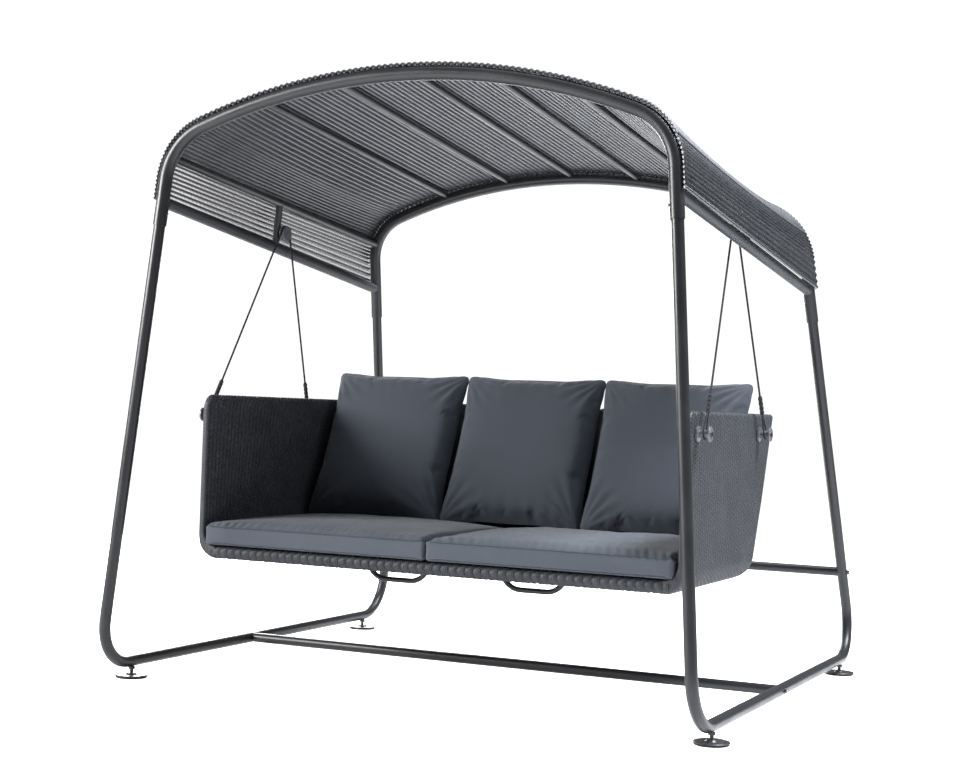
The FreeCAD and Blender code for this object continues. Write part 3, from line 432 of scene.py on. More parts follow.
def group_shell(name, inputs, outputs):
    """An empty node group with named sockets."""
    tree = bpy.data.node_groups.new(name, "ShaderNodeTree")
    for label, kind, value in inputs:
        socket = tree.interface.new_socket(label, in_out="INPUT", socket_type=kind)
        socket.default_value = value
    for label, kind in outputs:
        tree.interface.new_socket(label, in_out="OUTPUT", socket_type=kind)
    return tree, tree.nodes.new("NodeGroupInput").outputs, tree.nodes.new("NodeGroupOutput").inputs


FLOAT, COLOUR, VECTOR = "NodeSocketFloat", "NodeSocketColor", "NodeSocketVector"


def mottle_group():
    """Uneven tone and gloss, with a fine grain, as on coated metal or moulded plastic."""
    tree, given, out = group_shell(
        "surface_mottle",
        [("Place", VECTOR, (0, 0, 0)), ("Colour", COLOUR, (0.1, 0.1, 0.1, 1)),
         ("Cloud scale", FLOAT, 7.0), ("Cloud depth", FLOAT, 0.2), ("Grain scale", FLOAT, 900.0),
         ("Low gloss", FLOAT, 0.3), ("High gloss", FLOAT, 0.5)],
        [("Colour", COLOUR), ("Roughness", FLOAT), ("Grain", FLOAT)])
    cloud = noise(tree, given["Place"], given["Cloud scale"], 4.0)
    grain = noise(tree, given["Place"], given["Grain scale"], 2.0)
    lift = spread(tree, cloud, 0.3, 0.7, -1.0, 1.0)
    tone = sums(tree, "ADD", sums(tree, "MULTIPLY", lift, given["Cloud depth"]), 1.0)
    tone = sums(tree, "ADD", tone, sums(tree, "MULTIPLY", sums(tree, "SUBTRACT", grain, 0.5), 0.25))
    tree.links.new(times(tree, given["Colour"], tone), out["Colour"])
    tree.links.new(spread(tree, cloud, 0.3, 0.7, given["Low gloss"], given["High gloss"]),
                   out["Roughness"])
    tree.links.new(grain, out["Grain"])
    return tree


def thread_group():
    """Plain-woven cloth: warp and weft threads with slubs and faded patches."""
    tree, given, out = group_shell(
        "cloth_threads",
        [("Place", VECTOR, (0, 0, 0)), ("Colour", COLOUR, (0.1, 0.1, 0.1, 1)),
         ("Threads", FLOAT, 900.0), ("Slub", FLOAT, 0.35), ("Fade", FLOAT, 0.2)],
        [("Colour", COLOUR), ("Threads", FLOAT), ("Roughness", FLOAT)])
    waves = []
    for way in ("X", "Z"):
        wave = new_node(tree, "ShaderNodeTexWave", {"Vector": given["Place"],
                                                    "Scale": given["Threads"], "Distortion": 1.5,
                                                    "Detail": 1.0, "Detail Scale": 1.0},
                        wave_type="BANDS", bands_direction=way)
        waves.append(wave.outputs["Fac"])
    web = sums(tree, "MAXIMUM", waves[0], waves[1])
    slubs = noise(tree, given["Place"], 260.0, 3.0)
    patches = noise(tree, given["Place"], 5.0, 5.0)
    tone = spread(tree, web, 0.0, 1.0, 0.72, 1.08)
    for source, depth in ((slubs, given["Slub"]), (patches, given["Fade"])):
        tone = sums(tree, "ADD", tone,
                    sums(tree, "MULTIPLY", sums(tree, "SUBTRACT", source, 0.5), depth))
    tree.links.new(times(tree, given["Colour"], tone), out["Colour"])
    tree.links.new(web, out["Threads"])
    tree.links.new(spread(tree, slubs, 0.3, 0.7, 0.82, 0.96), out["Roughness"])
    return tree


def strand_group():
    """Plastic strands: fine drawn ridges, specks of dust from a fine noise and a different tone from place
    to place.
    """
    tree, given, out = group_shell(
        "strand_ridges",
        [("Place", VECTOR, (0, 0, 0)), ("Colour", COLOUR, (0.1, 0.1, 0.1, 1)),
         ("Ridges", VECTOR, (1, 1, 1)), ("Tone depth", FLOAT, 0.3), ("Low gloss", FLOAT, 0.35),
         ("High gloss", FLOAT, 0.55)],
        [("Colour", COLOUR), ("Roughness", FLOAT), ("Ridges", FLOAT)])
    ridges = noise(tree, times(tree, given["Place"], given["Ridges"]), 1.0, 2.0)
    patch = noise(tree, given["Place"], 11.0, 6.0)
    dust = noise(tree, given["Place"], 240.0, 3.0)
    lift = sums(tree, "ADD", spread(tree, patch, 0.3, 0.7, -0.6, 0.6),
                spread(tree, ridges, 0.3, 0.7, -0.5, 0.5))
    tone = sums(tree, "ADD", sums(tree, "MULTIPLY", lift, given["Tone depth"]), 1.0)
    dusty = mixed(tree, spread(tree, dust, 0.55, 0.8, 0.0, 0.35), times(tree, given["Colour"], tone),
                  (0.12, 0.125, 0.135, 1.0))
    tree.links.new(dusty, out["Colour"])
    tree.links.new(spread(tree, ridges, 0.3, 0.7, given["Low gloss"], given["High gloss"]),
                   out["Roughness"])
    tree.links.new(ridges, out["Ridges"])
    return tree


def shared_group(build):
    """A node group, built the first time that it is asked for."""
    name = {mottle_group: "surface_mottle", thread_group: "cloth_threads",
            strand_group: "strand_ridges"}[build]
    return bpy.data.node_groups.get(name) or build()


def material_shell(name, build, colour, settings, shader, bump, bump_depth, height):
    """A material whose colour, gloss and bump come from a shared group."""
    material = bpy.data.materials.get(name)
    if material:
        return material
    material = bpy.data.materials.new(name)
    material.use_nodes = True
    tree = material.node_tree
    tree.nodes.clear()
    place = tree.nodes.new("ShaderNodeTexCoord")
    group = new_node(tree, "ShaderNodeGroup", node_tree=shared_group(build))
    tree.links.new(place.outputs["Object"], group.inputs["Place"])
    group.inputs["Colour"].default_value = (*colour, 1.0)
    for label, value in settings.items():
        group.inputs[label].default_value = value
    relief = new_node(tree, "ShaderNodeBump", {"Height": group.outputs[height], "Strength": bump,
                                               "Distance": bump_depth})
    body = new_node(tree, "ShaderNodeBsdfPrincipled", {"Base Color": group.outputs["Colour"],
                                                       "Roughness": group.outputs["Roughness"],
                                                       "Normal": relief.outputs["Normal"]})
    for label, value in shader.items():
        body.inputs[label].default_value = value
    end = tree.nodes.new("ShaderNodeOutputMaterial")
    tree.links.new(body.outputs[0], end.inputs["Surface"])
    return material


def coated(name, colour, low=0.3, high=0.42, metallic=0.0, cloud=0.12, grain=1400.0, bump=0.25):
    """Powder-coated or bare metal, rubber, or the floor's paint."""
    return material_shell(name, mottle_group, colour,
                          {"Cloud depth": cloud, "Grain scale": grain, "Low gloss": low,
                           "High gloss": high},
                          {"Metallic": metallic, "Specular IOR Level": 0.45},
                          bump, 0.0004, "Grain")


def strand_plastic(name, colour, ridges, low=0.36, high=0.55, gleam=0.5):
    """Woven plastic strand."""
    return material_shell(name, strand_group, colour,
                          {"Ridges": ridges, "Tone depth": 0.34, "Low gloss": low,
                           "High gloss": high},
                          {"Specular IOR Level": gleam}, 0.3, 0.0006, "Ridges")


def cloth(name, colour, threads=520.0, fade=0.22, sheen=0.14):
    """Woven outdoor cloth, or plaited rope."""
    return material_shell(name, thread_group, colour, {"Threads": threads, "Fade": fade},
                          {"Sheen Weight": sheen, "Sheen Roughness": 0.45,
                           "Specular IOR Level": 0.25}, 0.35, 0.0005, "Threads")


# ------------------------------------------------------------------ canopy

class Arch:
    """One canopy arch in its own leaning plane, measured across and up the slope."""

    def __init__(self, sizes, rear):
        self.sizes, self.rear = sizes, rear
        rake = sizes.rear_rake if rear else sizes.front_rake
        self.slope = math.atan(math.tan(rake) / math.cos(sizes.lean))
        self.foot = sizes.rear_foot if rear else sizes.front_foot
        crown = (sizes.rear_crown if rear else sizes.front_crown) - sizes.rail_height
        self.centre = crown / math.cos(self.slope) - sizes.crown_radius
        lean = math.atan(math.tan(sizes.lean) * math.cos(self.slope))
        along = np.array((-math.sin(lean), math.cos(lean)))
        self.inward = np.array((-math.cos(lean), -math.sin(lean)))
        start = np.array((sizes.half_span, 0.0)) + self.inward * sizes.corner_radius
        to_start = start - (0.0, self.centre)
        half = to_start @ along
        rest = to_start @ to_start - (sizes.crown_radius - sizes.corner_radius) ** 2
        self.bend = start + along * (math.sqrt(half * half - rest) - half)
        away = self.bend - (0.0, self.centre)
        self.toward = away / np.linalg.norm(away)
        self.tilt = self.slope + sizes.pitch if rear else self.slope - sizes.pitch

    def place(self, spots, shift=0.0):
        """Pairs of across and up as points in space, slid back down the canopy's fall."""
        turn = -1 if self.rear else 1
        y = self.foot + turn * spots[:, 1] * math.sin(self.slope) + shift
        z = (self.sizes.rail_height + spots[:, 1] * math.cos(self.slope)
             - shift * math.tan(self.sizes.pitch))
        return np.stack([spots[:, 0], y, z], axis=1)

    def spots(self, height, lift, shares):
        """Points of the arch from its right foot over to its left, by shares of each stretch."""
        sizes = self.sizes
        lift = lift / math.cos(self.tilt)
        up = (height - sizes.rail_height) / math.cos(self.slope)
        foot = np.array((sizes.half_span - math.tan(sizes.lean) * math.cos(self.slope) * up, up))
        foot = foot - self.inward * lift
        small, big = sizes.corner_radius + lift, sizes.crown_radius + lift
        bend_start = self.bend - self.inward * small
        line = foot + (bend_start - foot) * shares[0][:, None]
        first = math.atan2(-self.inward[1], -self.inward[0])
        last = math.atan2(self.toward[1], self.toward[0])
        turn = first + (last - first) * shares[1]
        bend = self.bend + small * np.stack([np.cos(turn), np.sin(turn)], axis=1)
        turn = last + (math.pi - 2 * last) * shares[2]
        crown = np.array((0.0, self.centre)) + big * np.stack([np.cos(turn), np.sin(turn)], axis=1)
        mirror = np.array((-1.0, 1.0))
        return np.concatenate([line, bend, crown, bend[::-1] * mirror, line[::-1] * mirror])

    def at_height(self, height, side):
        """The arch's middle at a height."""
        up = (height - self.sizes.rail_height) / math.cos(self.slope)
        across = self.sizes.half_span - math.tan(self.sizes.lean) * math.cos(self.slope) * up
        return Vector(self.place(np.array([[side * across, up]]))[0])


def strand_shares(sizes, front):
    """Even shares of the straight ends, the bends and the crown, one for each strand."""
    ends = np.array([0.0, 1.0])
    spots = front.spots(sizes.front_end, sizes.wrap, (ends, ends, ends))
    line = np.linalg.norm(spots[1] - spots[0])
    turn = math.atan2(front.toward[1], front.toward[0]) - math.atan2(-front.inward[1], -front.inward[0])
    bend = abs(turn) * (sizes.corner_radius + sizes.wrap)
    crown = (math.pi - 2 * math.atan2(front.toward[1], front.toward[0])) * sizes.crown_radius
    pitches = (sizes.strand_pitch, sizes.strand_pitch, sizes.crown_pitch)
    counts = [max(2, round(part / pitch)) for part, pitch in zip((line, bend, crown), pitches)]
    return [(np.arange(count) + 0.5) / count for count in counts]


def canopy_rows(sizes, lift=0.0):
    """Where each strand leaves the front arch and reaches the rear arch, and the turned-down ends."""
    front, rear = Arch(sizes, False), Arch(sizes, True)
    shares = strand_shares(sizes, front)
    radius = sizes.wrap + lift
    rows = []
    for arch, height, turn in ((front, sizes.front_end, -sizes.front_turn),
                               (rear, sizes.rear_end, sizes.rear_turn)):
        for share in (1, 2 / 3, 1 / 3, 0):
            over = abs(turn) * share
            spots = arch.spots(height, radius * math.cos(over), shares)
            rows.append(arch.place(spots, math.copysign(radius * math.sin(over), turn)))
    return rows[:4] + rows[4:][::-1]


def shoulder_sag(sizes, rows, share):
    """How far each strand hangs in between the arches, most just above the shoulders."""
    start = rows[3]
    along = np.concatenate([[0.0], np.cumsum(np.linalg.norm(np.diff(start, axis=0), axis=1))])
    shares = strand_shares(sizes, Arch(sizes, False))
    ends = len(shares[0]) + len(shares[1])
    total = np.zeros(len(start))
    for spot, way in ((along[ends], 1), (along[-1] - along[ends], -1)):
        total += np.exp(-((along - spot) / 0.17) ** 2)
    inward = np.array((0.0, 0.0, 1.0)) + np.zeros_like(start)
    inward[:, 0] = start[:, 0]
    inward /= np.linalg.norm(inward, axis=1, keepdims=True)
    depth = sizes.sag * total * math.sin(math.pi * share) ** 0.8
    return -inward * depth[:, None]


class BENCH_OT_canopy_strands(bpy.types.Operator):
    """Lay the canopy's strands from arch to arch, turned down over both tubes"""
    bl_idname = "swing_bench.canopy_strands"
    bl_label = "Canopy strands"

    def execute(self, context):
        sizes, colours = context.scene.bench_canopy, context.scene.bench_finish
        rows = canopy_rows(sizes)
        count = len(rows[0])
        wander = jitter((count, 6, 3), 11) * np.array((0.0006, 0.0, 0.0006))
        middle = [rows[3] + (rows[4] - rows[3]) * share + shoulder_sag(sizes, rows, share)
                  for share in np.linspace(0, 1, 8)[1:-1]]
        for index, row in enumerate(middle):
            row += wander[:, index]
        lines = np.stack(rows[:4] + middle + rows[4:], axis=1)
        piece = strand_bundle("canopy_strands", lines, sizes.strand, 2)
        material = strand_plastic("canopy strand", colours.canopy, (420.0, 12.0, 420.0), 0.26, 0.40,
                                  0.9)
        hang(piece, "stand", material, ["canopy_weave"])
        return {"FINISHED"}


class BENCH_OT_canopy_threads(bpy.types.Operator):
    """Run the fine cross threads over the outside of the canopy, dipping between the strands"""
    bl_idname = "swing_bench.canopy_threads"
    bl_label = "Canopy cross threads"

    def execute(self, context):
        sizes, colours = context.scene.bench_canopy, context.scene.bench_finish
        high = canopy_rows(sizes, sizes.strand / 2 + sizes.weft * 0.3)
        low = canopy_rows(sizes, sizes.weft * 0.2)
        span = np.linalg.norm(high[4] - high[3], axis=1).mean()
        count = int(span / sizes.weft_pitch)
        pairs = [(high[end], low[end]) for end in (0, 1, 2, 5, 6, 7)]
        for index in range(count + 1):
            share = index / count
            sag = shoulder_sag(sizes, high, share)
            pairs.append((high[3] + (high[4] - high[3]) * share + sag,
                          low[3] + (low[4] - low[3]) * share + sag))
        lines = []
        for over, under in pairs:
            line = np.empty((2 * len(over) - 1, 3))
            line[0::2] = over
            line[1::2] = (under[1:] + under[:-1]) / 2
            lines.append(line)
        rail_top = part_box("shoulder_rail_right")[1].z
        end = 2 * int((high[3][:len(high[3]) // 2, 2] < rail_top).sum())
        half = len(lines[0]) // 2
        # The threads' darker colour is painted shade for the gaps between the strands.
        material = strand_plastic("canopy thread painted shade", colours.thread, (60.0, 420.0, 60.0), 0.42, 0.58, 0.45)
        for name, part, thickness in (
                ("end_right", slice(0, end + 1), sizes.end_weft),
                ("crown_right", slice(end, half + 1), sizes.weft),
                ("crown_left", slice(half, len(lines[0]) - end), sizes.weft),
                ("end_left", slice(len(lines[0]) - end - 1, None), sizes.end_weft)):
            piece = strand_bundle("canopy_threads_" + name, [line[part] for line in lines],
                                  thickness, 0)
            hang(piece, "stand", material)
        return {"FINISHED"}


class BENCH_OT_end_rails(bpy.types.Operator):
    """Wind strand tightly round the two end rails of the canopy"""
    bl_idname = "swing_bench.end_rails"
    bl_label = "Wound end rails"

    def execute(self, context):
        sizes, colours = context.scene.bench_canopy, context.scene.bench_finish
        material = strand_plastic("rail winding", colours.tub, (90.0, 500.0, 90.0))
        front, rear = Arch(sizes, False), Arch(sizes, True)
        relief = sizes.rail_strand * 0.35
        core = sizes.rail_core - relief
        for name, side in SIDES:
            start = front.at_height(sizes.front_end, side)
            end = rear.at_height(sizes.rear_end, side)
            way = (end - start).normalized()
            start, end = start + way * sizes.rail_inset, end - way * sizes.rail_inset

            def dress(turn, mark):
                phase = mark / sizes.rail_strand + turn / (2 * math.pi)
                return core + relief * np.abs(np.sin(math.pi * phase)) ** 0.6

            piece = dressed_tube("wound_rail_" + name, [start, end], sizes.rail_strand / 5, 20, dress)
            hang(piece, "stand", material, ["end_rail_" + name])
        return {"FINISHED"}


# ------------------------------------------------------------------ seat tub

STAKE_LINES = 4
ROW_LINES = 3
ROW_SHARE = (-0.82, 0.0, 0.82)


def weave_relief(sizes, columns, rows):
    """How far each point of a woven skin stands out: strands over and under the stakes."""
    row = rows // ROW_LINES
    share = np.array(ROW_SHARE)[rows % ROW_LINES]
    offset = columns % STAKE_LINES
    bow = sizes.weave_swing * np.sin(math.pi * offset / STAKE_LINES)
    behind = (offset == 0)[:, None] * ((columns // STAKE_LINES)[:, None] + row[None, :]) % 2
    round_top = sizes.strand_round * np.sqrt(1 - share ** 2)
    return bow[:, None] + round_top[None, :] - sizes.weave_dip * behind


def row_marks(count, rows):
    """Row lines as shares of the whole height, bunched into round strands."""
    row = rows // ROW_LINES
    share = np.array(ROW_SHARE)[rows % ROW_LINES]
    return np.clip((row + 0.5 + share / 2) / count, 0.0, 1.0)


def profile(sizes, outer, marks):
    """A wall's section from its rim to its foot: the set from the outside face, and the height."""
    half = sizes.wall / 2
    sunk = sizes.weave_swing + sizes.strand_round
    rim = half - sunk
    if outer:
        drop = sizes.top - half - sizes.bottom - sizes.side_bend
        bend, reach = sizes.side_bend - sunk, 0.0
    else:
        drop = sizes.top - half - sizes.deck - sizes.deck_bend
        bend, reach = sizes.deck_bend + sunk, sizes.side_bend - sizes.wall - sizes.deck_bend
    arc = rim * math.pi / 2
    lengths = [arc, drop, bend * math.pi / 2, reach]
    distance = marks * sum(lengths)
    turn = np.clip(distance / arc, 0, 1) * math.pi / 2
    down = np.clip(distance - arc, 0, drop)
    curl = np.clip((distance - arc - drop) / bend, 0, math.pi / 2)
    flat = np.clip(distance - arc - drop - bend * math.pi / 2, 0, max(reach, 1e-6))
    sign = 1 if outer else -1
    out = -half + sign * rim * np.sin(turn)
    height = sizes.top - half + rim * np.cos(turn) - down - bend * np.sin(curl)
    inward = -bend * (1 - np.cos(curl)) - flat
    return out + inward, height


def back_face(sizes, height):
    """How far back the back's outer face is at a height."""
    return sizes.rear_foot + (height - sizes.bottom) * math.tan(sizes.recline)


def plan_points(sizes, side, shares, out, height):
    """Points of the tub's wall round one arm: along the arm, round the corner, to the back."""
    stretch = 1 / math.cos(sizes.recline)
    low = np.clip((sizes.bottom + 0.25 - height) / 0.25, 0, 1)
    corner = sizes.corner + (sizes.corner_foot - sizes.corner) * low
    over = np.clip(height - (sizes.top - sizes.arm_bend), 0, sizes.arm_bend)
    start = sizes.front + sizes.arm_bend - np.sqrt(sizes.arm_bend ** 2 - over ** 2)
    face = back_face(sizes, height)
    turn_y = face - corner * stretch
    run = turn_y - start
    arc = corner * math.pi / 2
    tail = sizes.half_width - corner - (sizes.half_width - sizes.side_bend - 0.012)
    tail = np.maximum(tail, 0.002)
    total = run + arc + tail
    distance = shares[:, None] * total[None, :]
    along = np.minimum(distance, run)
    bent = np.clip((distance - run) / corner, 0, math.pi / 2)
    rest = np.clip(distance - run - arc, 0, None)
    radius = corner + out
    x = side * (sizes.half_width - corner + radius * np.cos(bent) - rest)
    y = start + along + radius * stretch * np.sin(bent)
    return np.stack([x, y, np.broadcast_to(height, x.shape)], axis=2)


def wall_rows(sizes):
    """How many woven rows a wall has from its rim to its foot."""
    return round((sizes.top - sizes.bottom + sizes.side_bend * 0.6) / sizes.row_pitch)


def seat_strand(colours):
    """The plastic strand of the arms, the back and the seat."""
    return strand_plastic("seat strand", colours.tub, (30.0, 30.0, 500.0), 0.42, 0.62, 0.35)


def arm_skin(sizes, name, side, outer):
    """One skin of an arm, woven, with a rounded front edge and rim."""
    edge_lines = 4
    half = sizes.wall / 2
    rows = wall_rows(sizes)
    mean_length = (sizes.rear_foot - sizes.front
                   + 0.5 * (sizes.top - sizes.bottom) * math.tan(sizes.recline))
    stakes = round((mean_length + 0.03) / sizes.stake_pitch)
    across = edge_lines + stakes * STAKE_LINES
    along = rows * ROW_LINES - 1

    def place(columns, lines):
        marks = row_marks(rows, lines)
        marks[0] = 0.0
        edge = half * (1 - np.cos(np.minimum(columns, edge_lines) / edge_lines * math.pi / 2))
        rest = np.maximum(columns - edge_lines, 0) / (across - edge_lines)
        shares = edge / mean_length + (1 - half / mean_length) * rest
        near_out, near_height = profile(sizes, outer, marks)
        far_out, far_height = profile(sizes, not outer, marks)
        wall = plan_points(sizes, side, shares, near_out, near_height)
        other = plan_points(sizes, side, shares, far_out, far_height)
        middle = (wall + other) / 2
        round_off = np.sin(np.minimum(columns, edge_lines) / edge_lines * math.pi / 2)
        skin = middle + (wall - middle) * round_off[:, None, None]
        normal = normals_of(skin)
        facing = np.sign(((wall - other) * normal).sum(axis=2))
        facing = np.where(facing == 0, 1, facing)[:, :, None]
        relief = weave_relief(sizes, columns, lines)
        relief[:, 0] = 0.0
        relief[0, :] *= 0.2
        return skin + normal * facing * relief[:, :, None]

    return shaped_grid(name, across, along, place)


class BENCH_OT_arms(bpy.types.Operator):
    """Weave both arms round their rims and rear corners"""
    bl_idname = "swing_bench.arms"
    bl_label = "Woven arms"

    def execute(self, context):
        sizes, colours = context.scene.bench_tub, context.scene.bench_finish
        material = seat_strand(colours)
        for name, side in SIDES:
            skins = [arm_skin(sizes, "arm_skin", side, outer) for outer in (True, False)]
            piece = join(skins, "woven_arm_" + name)
            tidy_mesh(piece, 0.0004, turn_out=True)
            hang(piece, "swing", material, ["weave_arm_" + name])
        return {"FINISHED"}


class BENCH_OT_back(bpy.types.Operator):
    """Weave the two skins of the back"""
    bl_idname = "swing_bench.back"
    bl_label = "Woven back"

    def execute(self, context):
        sizes, colours = context.scene.bench_tub, context.scene.bench_finish
        rows = wall_rows(sizes)
        half = sizes.half_width - sizes.side_bend + 0.014
        stakes = round(2 * half / sizes.stake_pitch)
        stretch = 1 / math.cos(sizes.recline)
        material = seat_strand(colours)
        for name, outer in (("outside", True), ("inside", False)):

            def place(columns, lines):
                marks = row_marks(rows, lines)
                marks[0] = 0.0
                out, height = profile(sizes, outer, marks)
                x = -half + 2 * half * columns[:, None] / (stakes * STAKE_LINES)
                y = back_face(sizes, height) + out * stretch
                x, y, z = np.broadcast_arrays(x, y[None, :], height[None, :])
                skin = np.stack([x, y, z], axis=2)
                normal = normals_of(skin)
                facing = np.sign(normal[:, len(lines) // 2, 1].mean()) * (1 if outer else -1)
                relief = weave_relief(sizes, columns, lines)
                relief[:, 0] = 0.0
                return skin + normal * facing * relief[:, :, None]

            piece = shaped_grid("woven_back_" + name, stakes * STAKE_LINES, rows * ROW_LINES - 1,
                                place)
            hang(piece, "swing", material, ["weave_back"] if outer else [])
        return {"FINISHED"}


class BENCH_OT_seat(bpy.types.Operator):
    """Weave the deck under the cushions and the tub's underside"""
    bl_idname = "swing_bench.seat"
    bl_label = "Woven seat"

    def execute(self, context):
        sizes, colours = context.scene.bench_tub, context.scene.bench_finish
        half = sizes.half_width - sizes.side_bend + 0.016
        row_pitch = sizes.row_pitch * 1.6
        front = sizes.front + 0.03
        stakes = round(2 * half / sizes.stake_pitch)
        material = seat_strand(colours)
        rear = sizes.rear_foot - sizes.side_bend / math.cos(sizes.recline) + sizes.tuck_in
        deck_rear = back_face(sizes, sizes.deck) - sizes.wall - sizes.tuck_in
        skins = []
        for level, back, turn in ((sizes.bottom + sizes.skin_set, rear, -1),
                                  (sizes.deck - sizes.skin_set, deck_rear, 1)):
            rows = round((back - front) / row_pitch)

            def place(columns, lines):
                marks = row_marks(rows, lines)
                x = -half + 2 * half * columns[:, None] / (stakes * STAKE_LINES)
                y = front + (back - front) * marks[None, :]
                z = level + turn * weave_relief(sizes, columns, lines)
                return np.stack(np.broadcast_arrays(x, y, z), axis=2)

            piece = shaped_grid("seat_skin", stakes * STAKE_LINES, rows * ROW_LINES - 1, place)
            if turn < 0:
                pick(piece)
                bpy.ops.object.mode_set(mode="EDIT")
                bpy.ops.mesh.select_all(action="SELECT")
                bpy.ops.mesh.flip_normals()
                deselect()
            skins.append(piece)
        hang(join(skins, "woven_seat"), "swing", material, ["weave_seat"])
        return {"FINISHED"}


class BENCH_OT_braid(bpy.types.Operator):
    """Plait the thick front edge of the seat"""
    bl_idname = "swing_bench.braid"
    bl_label = "Braided edge"

    def execute(self, context):
        sizes, colours = context.scene.bench_tub, context.scene.bench_finish
        low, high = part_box("front_braid")
        middle = (low + high) / 2
        radius = sizes.braid / 2
        start = Vector((low.x - sizes.braid_overrun, middle.y, middle.z))
        end = Vector((high.x + sizes.braid_overrun, middle.y, middle.z))

        def dress(turn, mark):
            phase = mark / sizes.braid_pitch + 0.44 * np.cos(turn) + 0.12 * np.cos(2 * turn)
            lobe = np.abs(np.sin(math.pi * phase)) ** 0.55
            fine = np.abs(np.sin(4 * math.pi * phase)) ** 0.7
            return radius - sizes.braid_lobe - sizes.braid_ridge + sizes.braid_lobe * lobe + (
                sizes.braid_ridge * fine)

        piece = dressed_tube("braided_edge", [start, end], sizes.braid_pitch / 20, 32, dress)
        material = strand_plastic("braid strand", colours.tub, (160.0, 40.0, 40.0), 0.45, 0.65, 0.3)
        hang(piece, "swing", material, ["front_braid"])
        return {"FINISHED"}


# ------------------------------------------------------------------ ropes

ROPE_GAP = 0.0003


def tangent_spot(centre, radius, point, side):
    """Where a line from a point touches a circle on one side, in the plane of Y and Z."""
    away = point - centre
    heading = math.atan2(away.y, away.x)
    opening = math.acos(radius / away.length)
    spots = [centre + radius * Vector((math.cos(heading + turn * opening),
                                       math.sin(heading + turn * opening))) for turn in (1, -1)]
    return max(spots, key=lambda spot: (spot - centre).dot(side))


def arc_spots(centre, first, last, by_way_of, count):
    """Points of a circle from one spot to another, by way of a third."""
    radius = (first - centre).length
    start = math.atan2(*(first - centre).yx)
    sweep = (math.atan2(*(last - centre).yx) - start) % (2 * math.pi)
    mid = (math.atan2(*(by_way_of - centre).yx) - start) % (2 * math.pi)
    if mid > sweep:
        sweep -= 2 * math.pi
    return [centre + radius * Vector((math.cos(start + sweep * step / count),
                                      math.sin(start + sweep * step / count)))
            for step in range(count + 1)]


class BENCH_OT_ropes(bpy.types.Operator):
    """Plait the two hanging ropes, with an eye and a lashed splice at each arm spool"""
    bl_idname = "swing_bench.ropes"
    bl_label = "Hanging ropes"

    def execute(self, context):
        sizes, colours = context.scene.bench_ropes, context.scene.bench_finish
        material = cloth("rope plait", colours.rope, 1300.0, 0.1, 0.05)
        for name, side in SIDES:
            low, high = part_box("hub_cap_" + name)
            hub = (low + high) / 2
            hub_x = abs(high.x if side > 0 else low.x) + sizes.hub_half
            spools = []
            for row in ("front", "rear"):
                low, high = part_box("arm_spool_%s_%s" % (row, name))
                spools.append((low + high) / 2)
            hub_flat = Vector((hub.y, hub.z))
            foot_x = abs(spools[0].x) + sizes.spool_shift

            def out(spot):
                share = (hub_flat.y - spot.y) / (hub_flat.y - spools[0].z)
                return Vector((side * (hub_x + (foot_x - hub_x) * share), spot.x, spot.y))

            parts, tips = [], []
            wrap = sizes.hub_core / 2 + ROPE_GAP + sizes.rope / 2
            eye_radius = sizes.spool_core / 2 + ROPE_GAP + sizes.eye / 2
            for spool, turn in zip(spools, (-1, 1)):
                foot = Vector((spool.y, spool.z))
                heading = (hub_flat - foot).normalized()
                across = Vector((-heading.y, heading.x))
                throat = foot + heading * sizes.splice_rise
                touch = tangent_spot(hub_flat, wrap, throat, Vector((turn, 0)))
                tips.append((throat, touch))
                aside = across * (sizes.eye / 2)
                near = tangent_spot(foot, eye_radius, throat + aside, across)
                far = tangent_spot(foot, eye_radius, throat - aside, -across)
                bottom = foot - heading * eye_radius
                inner = throat + heading * sizes.tuck
                loop = ([inner + aside * 0.4] + arc_spots(foot, near, far, bottom, 20)
                        + [inner - aside * 0.4])

                def eye_dress(turned, mark):
                    return sizes.eye / 2 * (0.9 + 0.1 * np.abs(np.sin(
                        2 * turned + math.pi * mark / sizes.lay * 2)))

                parts.append(dressed_tube("eye", [out(spot) for spot in loop], 0.0018, 10, eye_dress))
                along = (touch - throat).normalized()
                overlap = 0.004
                sleeve = [throat - along * overlap, throat + along * sizes.splice_length]
                full = sizes.splice_length + overlap

                def splice_dress(turned, mark):
                    ends = np.clip(np.minimum(mark, full - mark) / 0.006, 0, 1) ** 0.5
                    cross = np.maximum(np.abs(np.sin(turned + math.pi * mark / sizes.lashing)),
                                       np.abs(np.sin(turned - math.pi * mark / sizes.lashing)))
                    return sizes.rope / 2 + ends * (sizes.splice / 2 - sizes.rope / 2) * (
                        0.45 + 0.55 * cross ** 3)

                parts.append(dressed_tube("splice", [out(spot) for spot in sleeve], 0.0012, 20,
                                          splice_dress))
            crest = hub_flat + Vector((0, wrap))
            over = arc_spots(hub_flat, tips[0][1], tips[1][1], crest, 24)
            run = [tips[0][0]] + over + [tips[1][0]]

            def rope_dress(turned, mark):
                plait = np.maximum(np.abs(np.sin(2 * turned + math.pi * mark / sizes.lay)),
                                   np.abs(np.sin(2 * turned - math.pi * mark / sizes.lay)))
                return sizes.rope / 2 * (0.93 + 0.07 * plait ** 2)

            parts.append(dressed_tube("run", [out(spot) for spot in run], 0.0022, 14, rope_dress))
            hang(join(parts, "hanging_rope_" + name), "swing", material,
                 ["rope_" + name, "rope_splices_" + name])
        return {"FINISHED"}


# ------------------------------------------------------------------ cushions

def pillow_block(name, half, grid, shape):
    """A cube primitive, cut fine and shaped into a cushion's pattern before it is filled."""
    deselect()
    bpy.ops.mesh.primitive_cube_add(size=2.0)
    piece = bpy.context.object
    piece.name = name
    bpy.ops.object.mode_set(mode="EDIT")
    bpy.ops.mesh.select_all(action="SELECT")
    bpy.ops.mesh.subdivide(number_cuts=grid)
    bpy.ops.object.mode_set(mode="OBJECT")
    set_coords(piece, shape(coords(piece)) * np.array(half))
    return piece


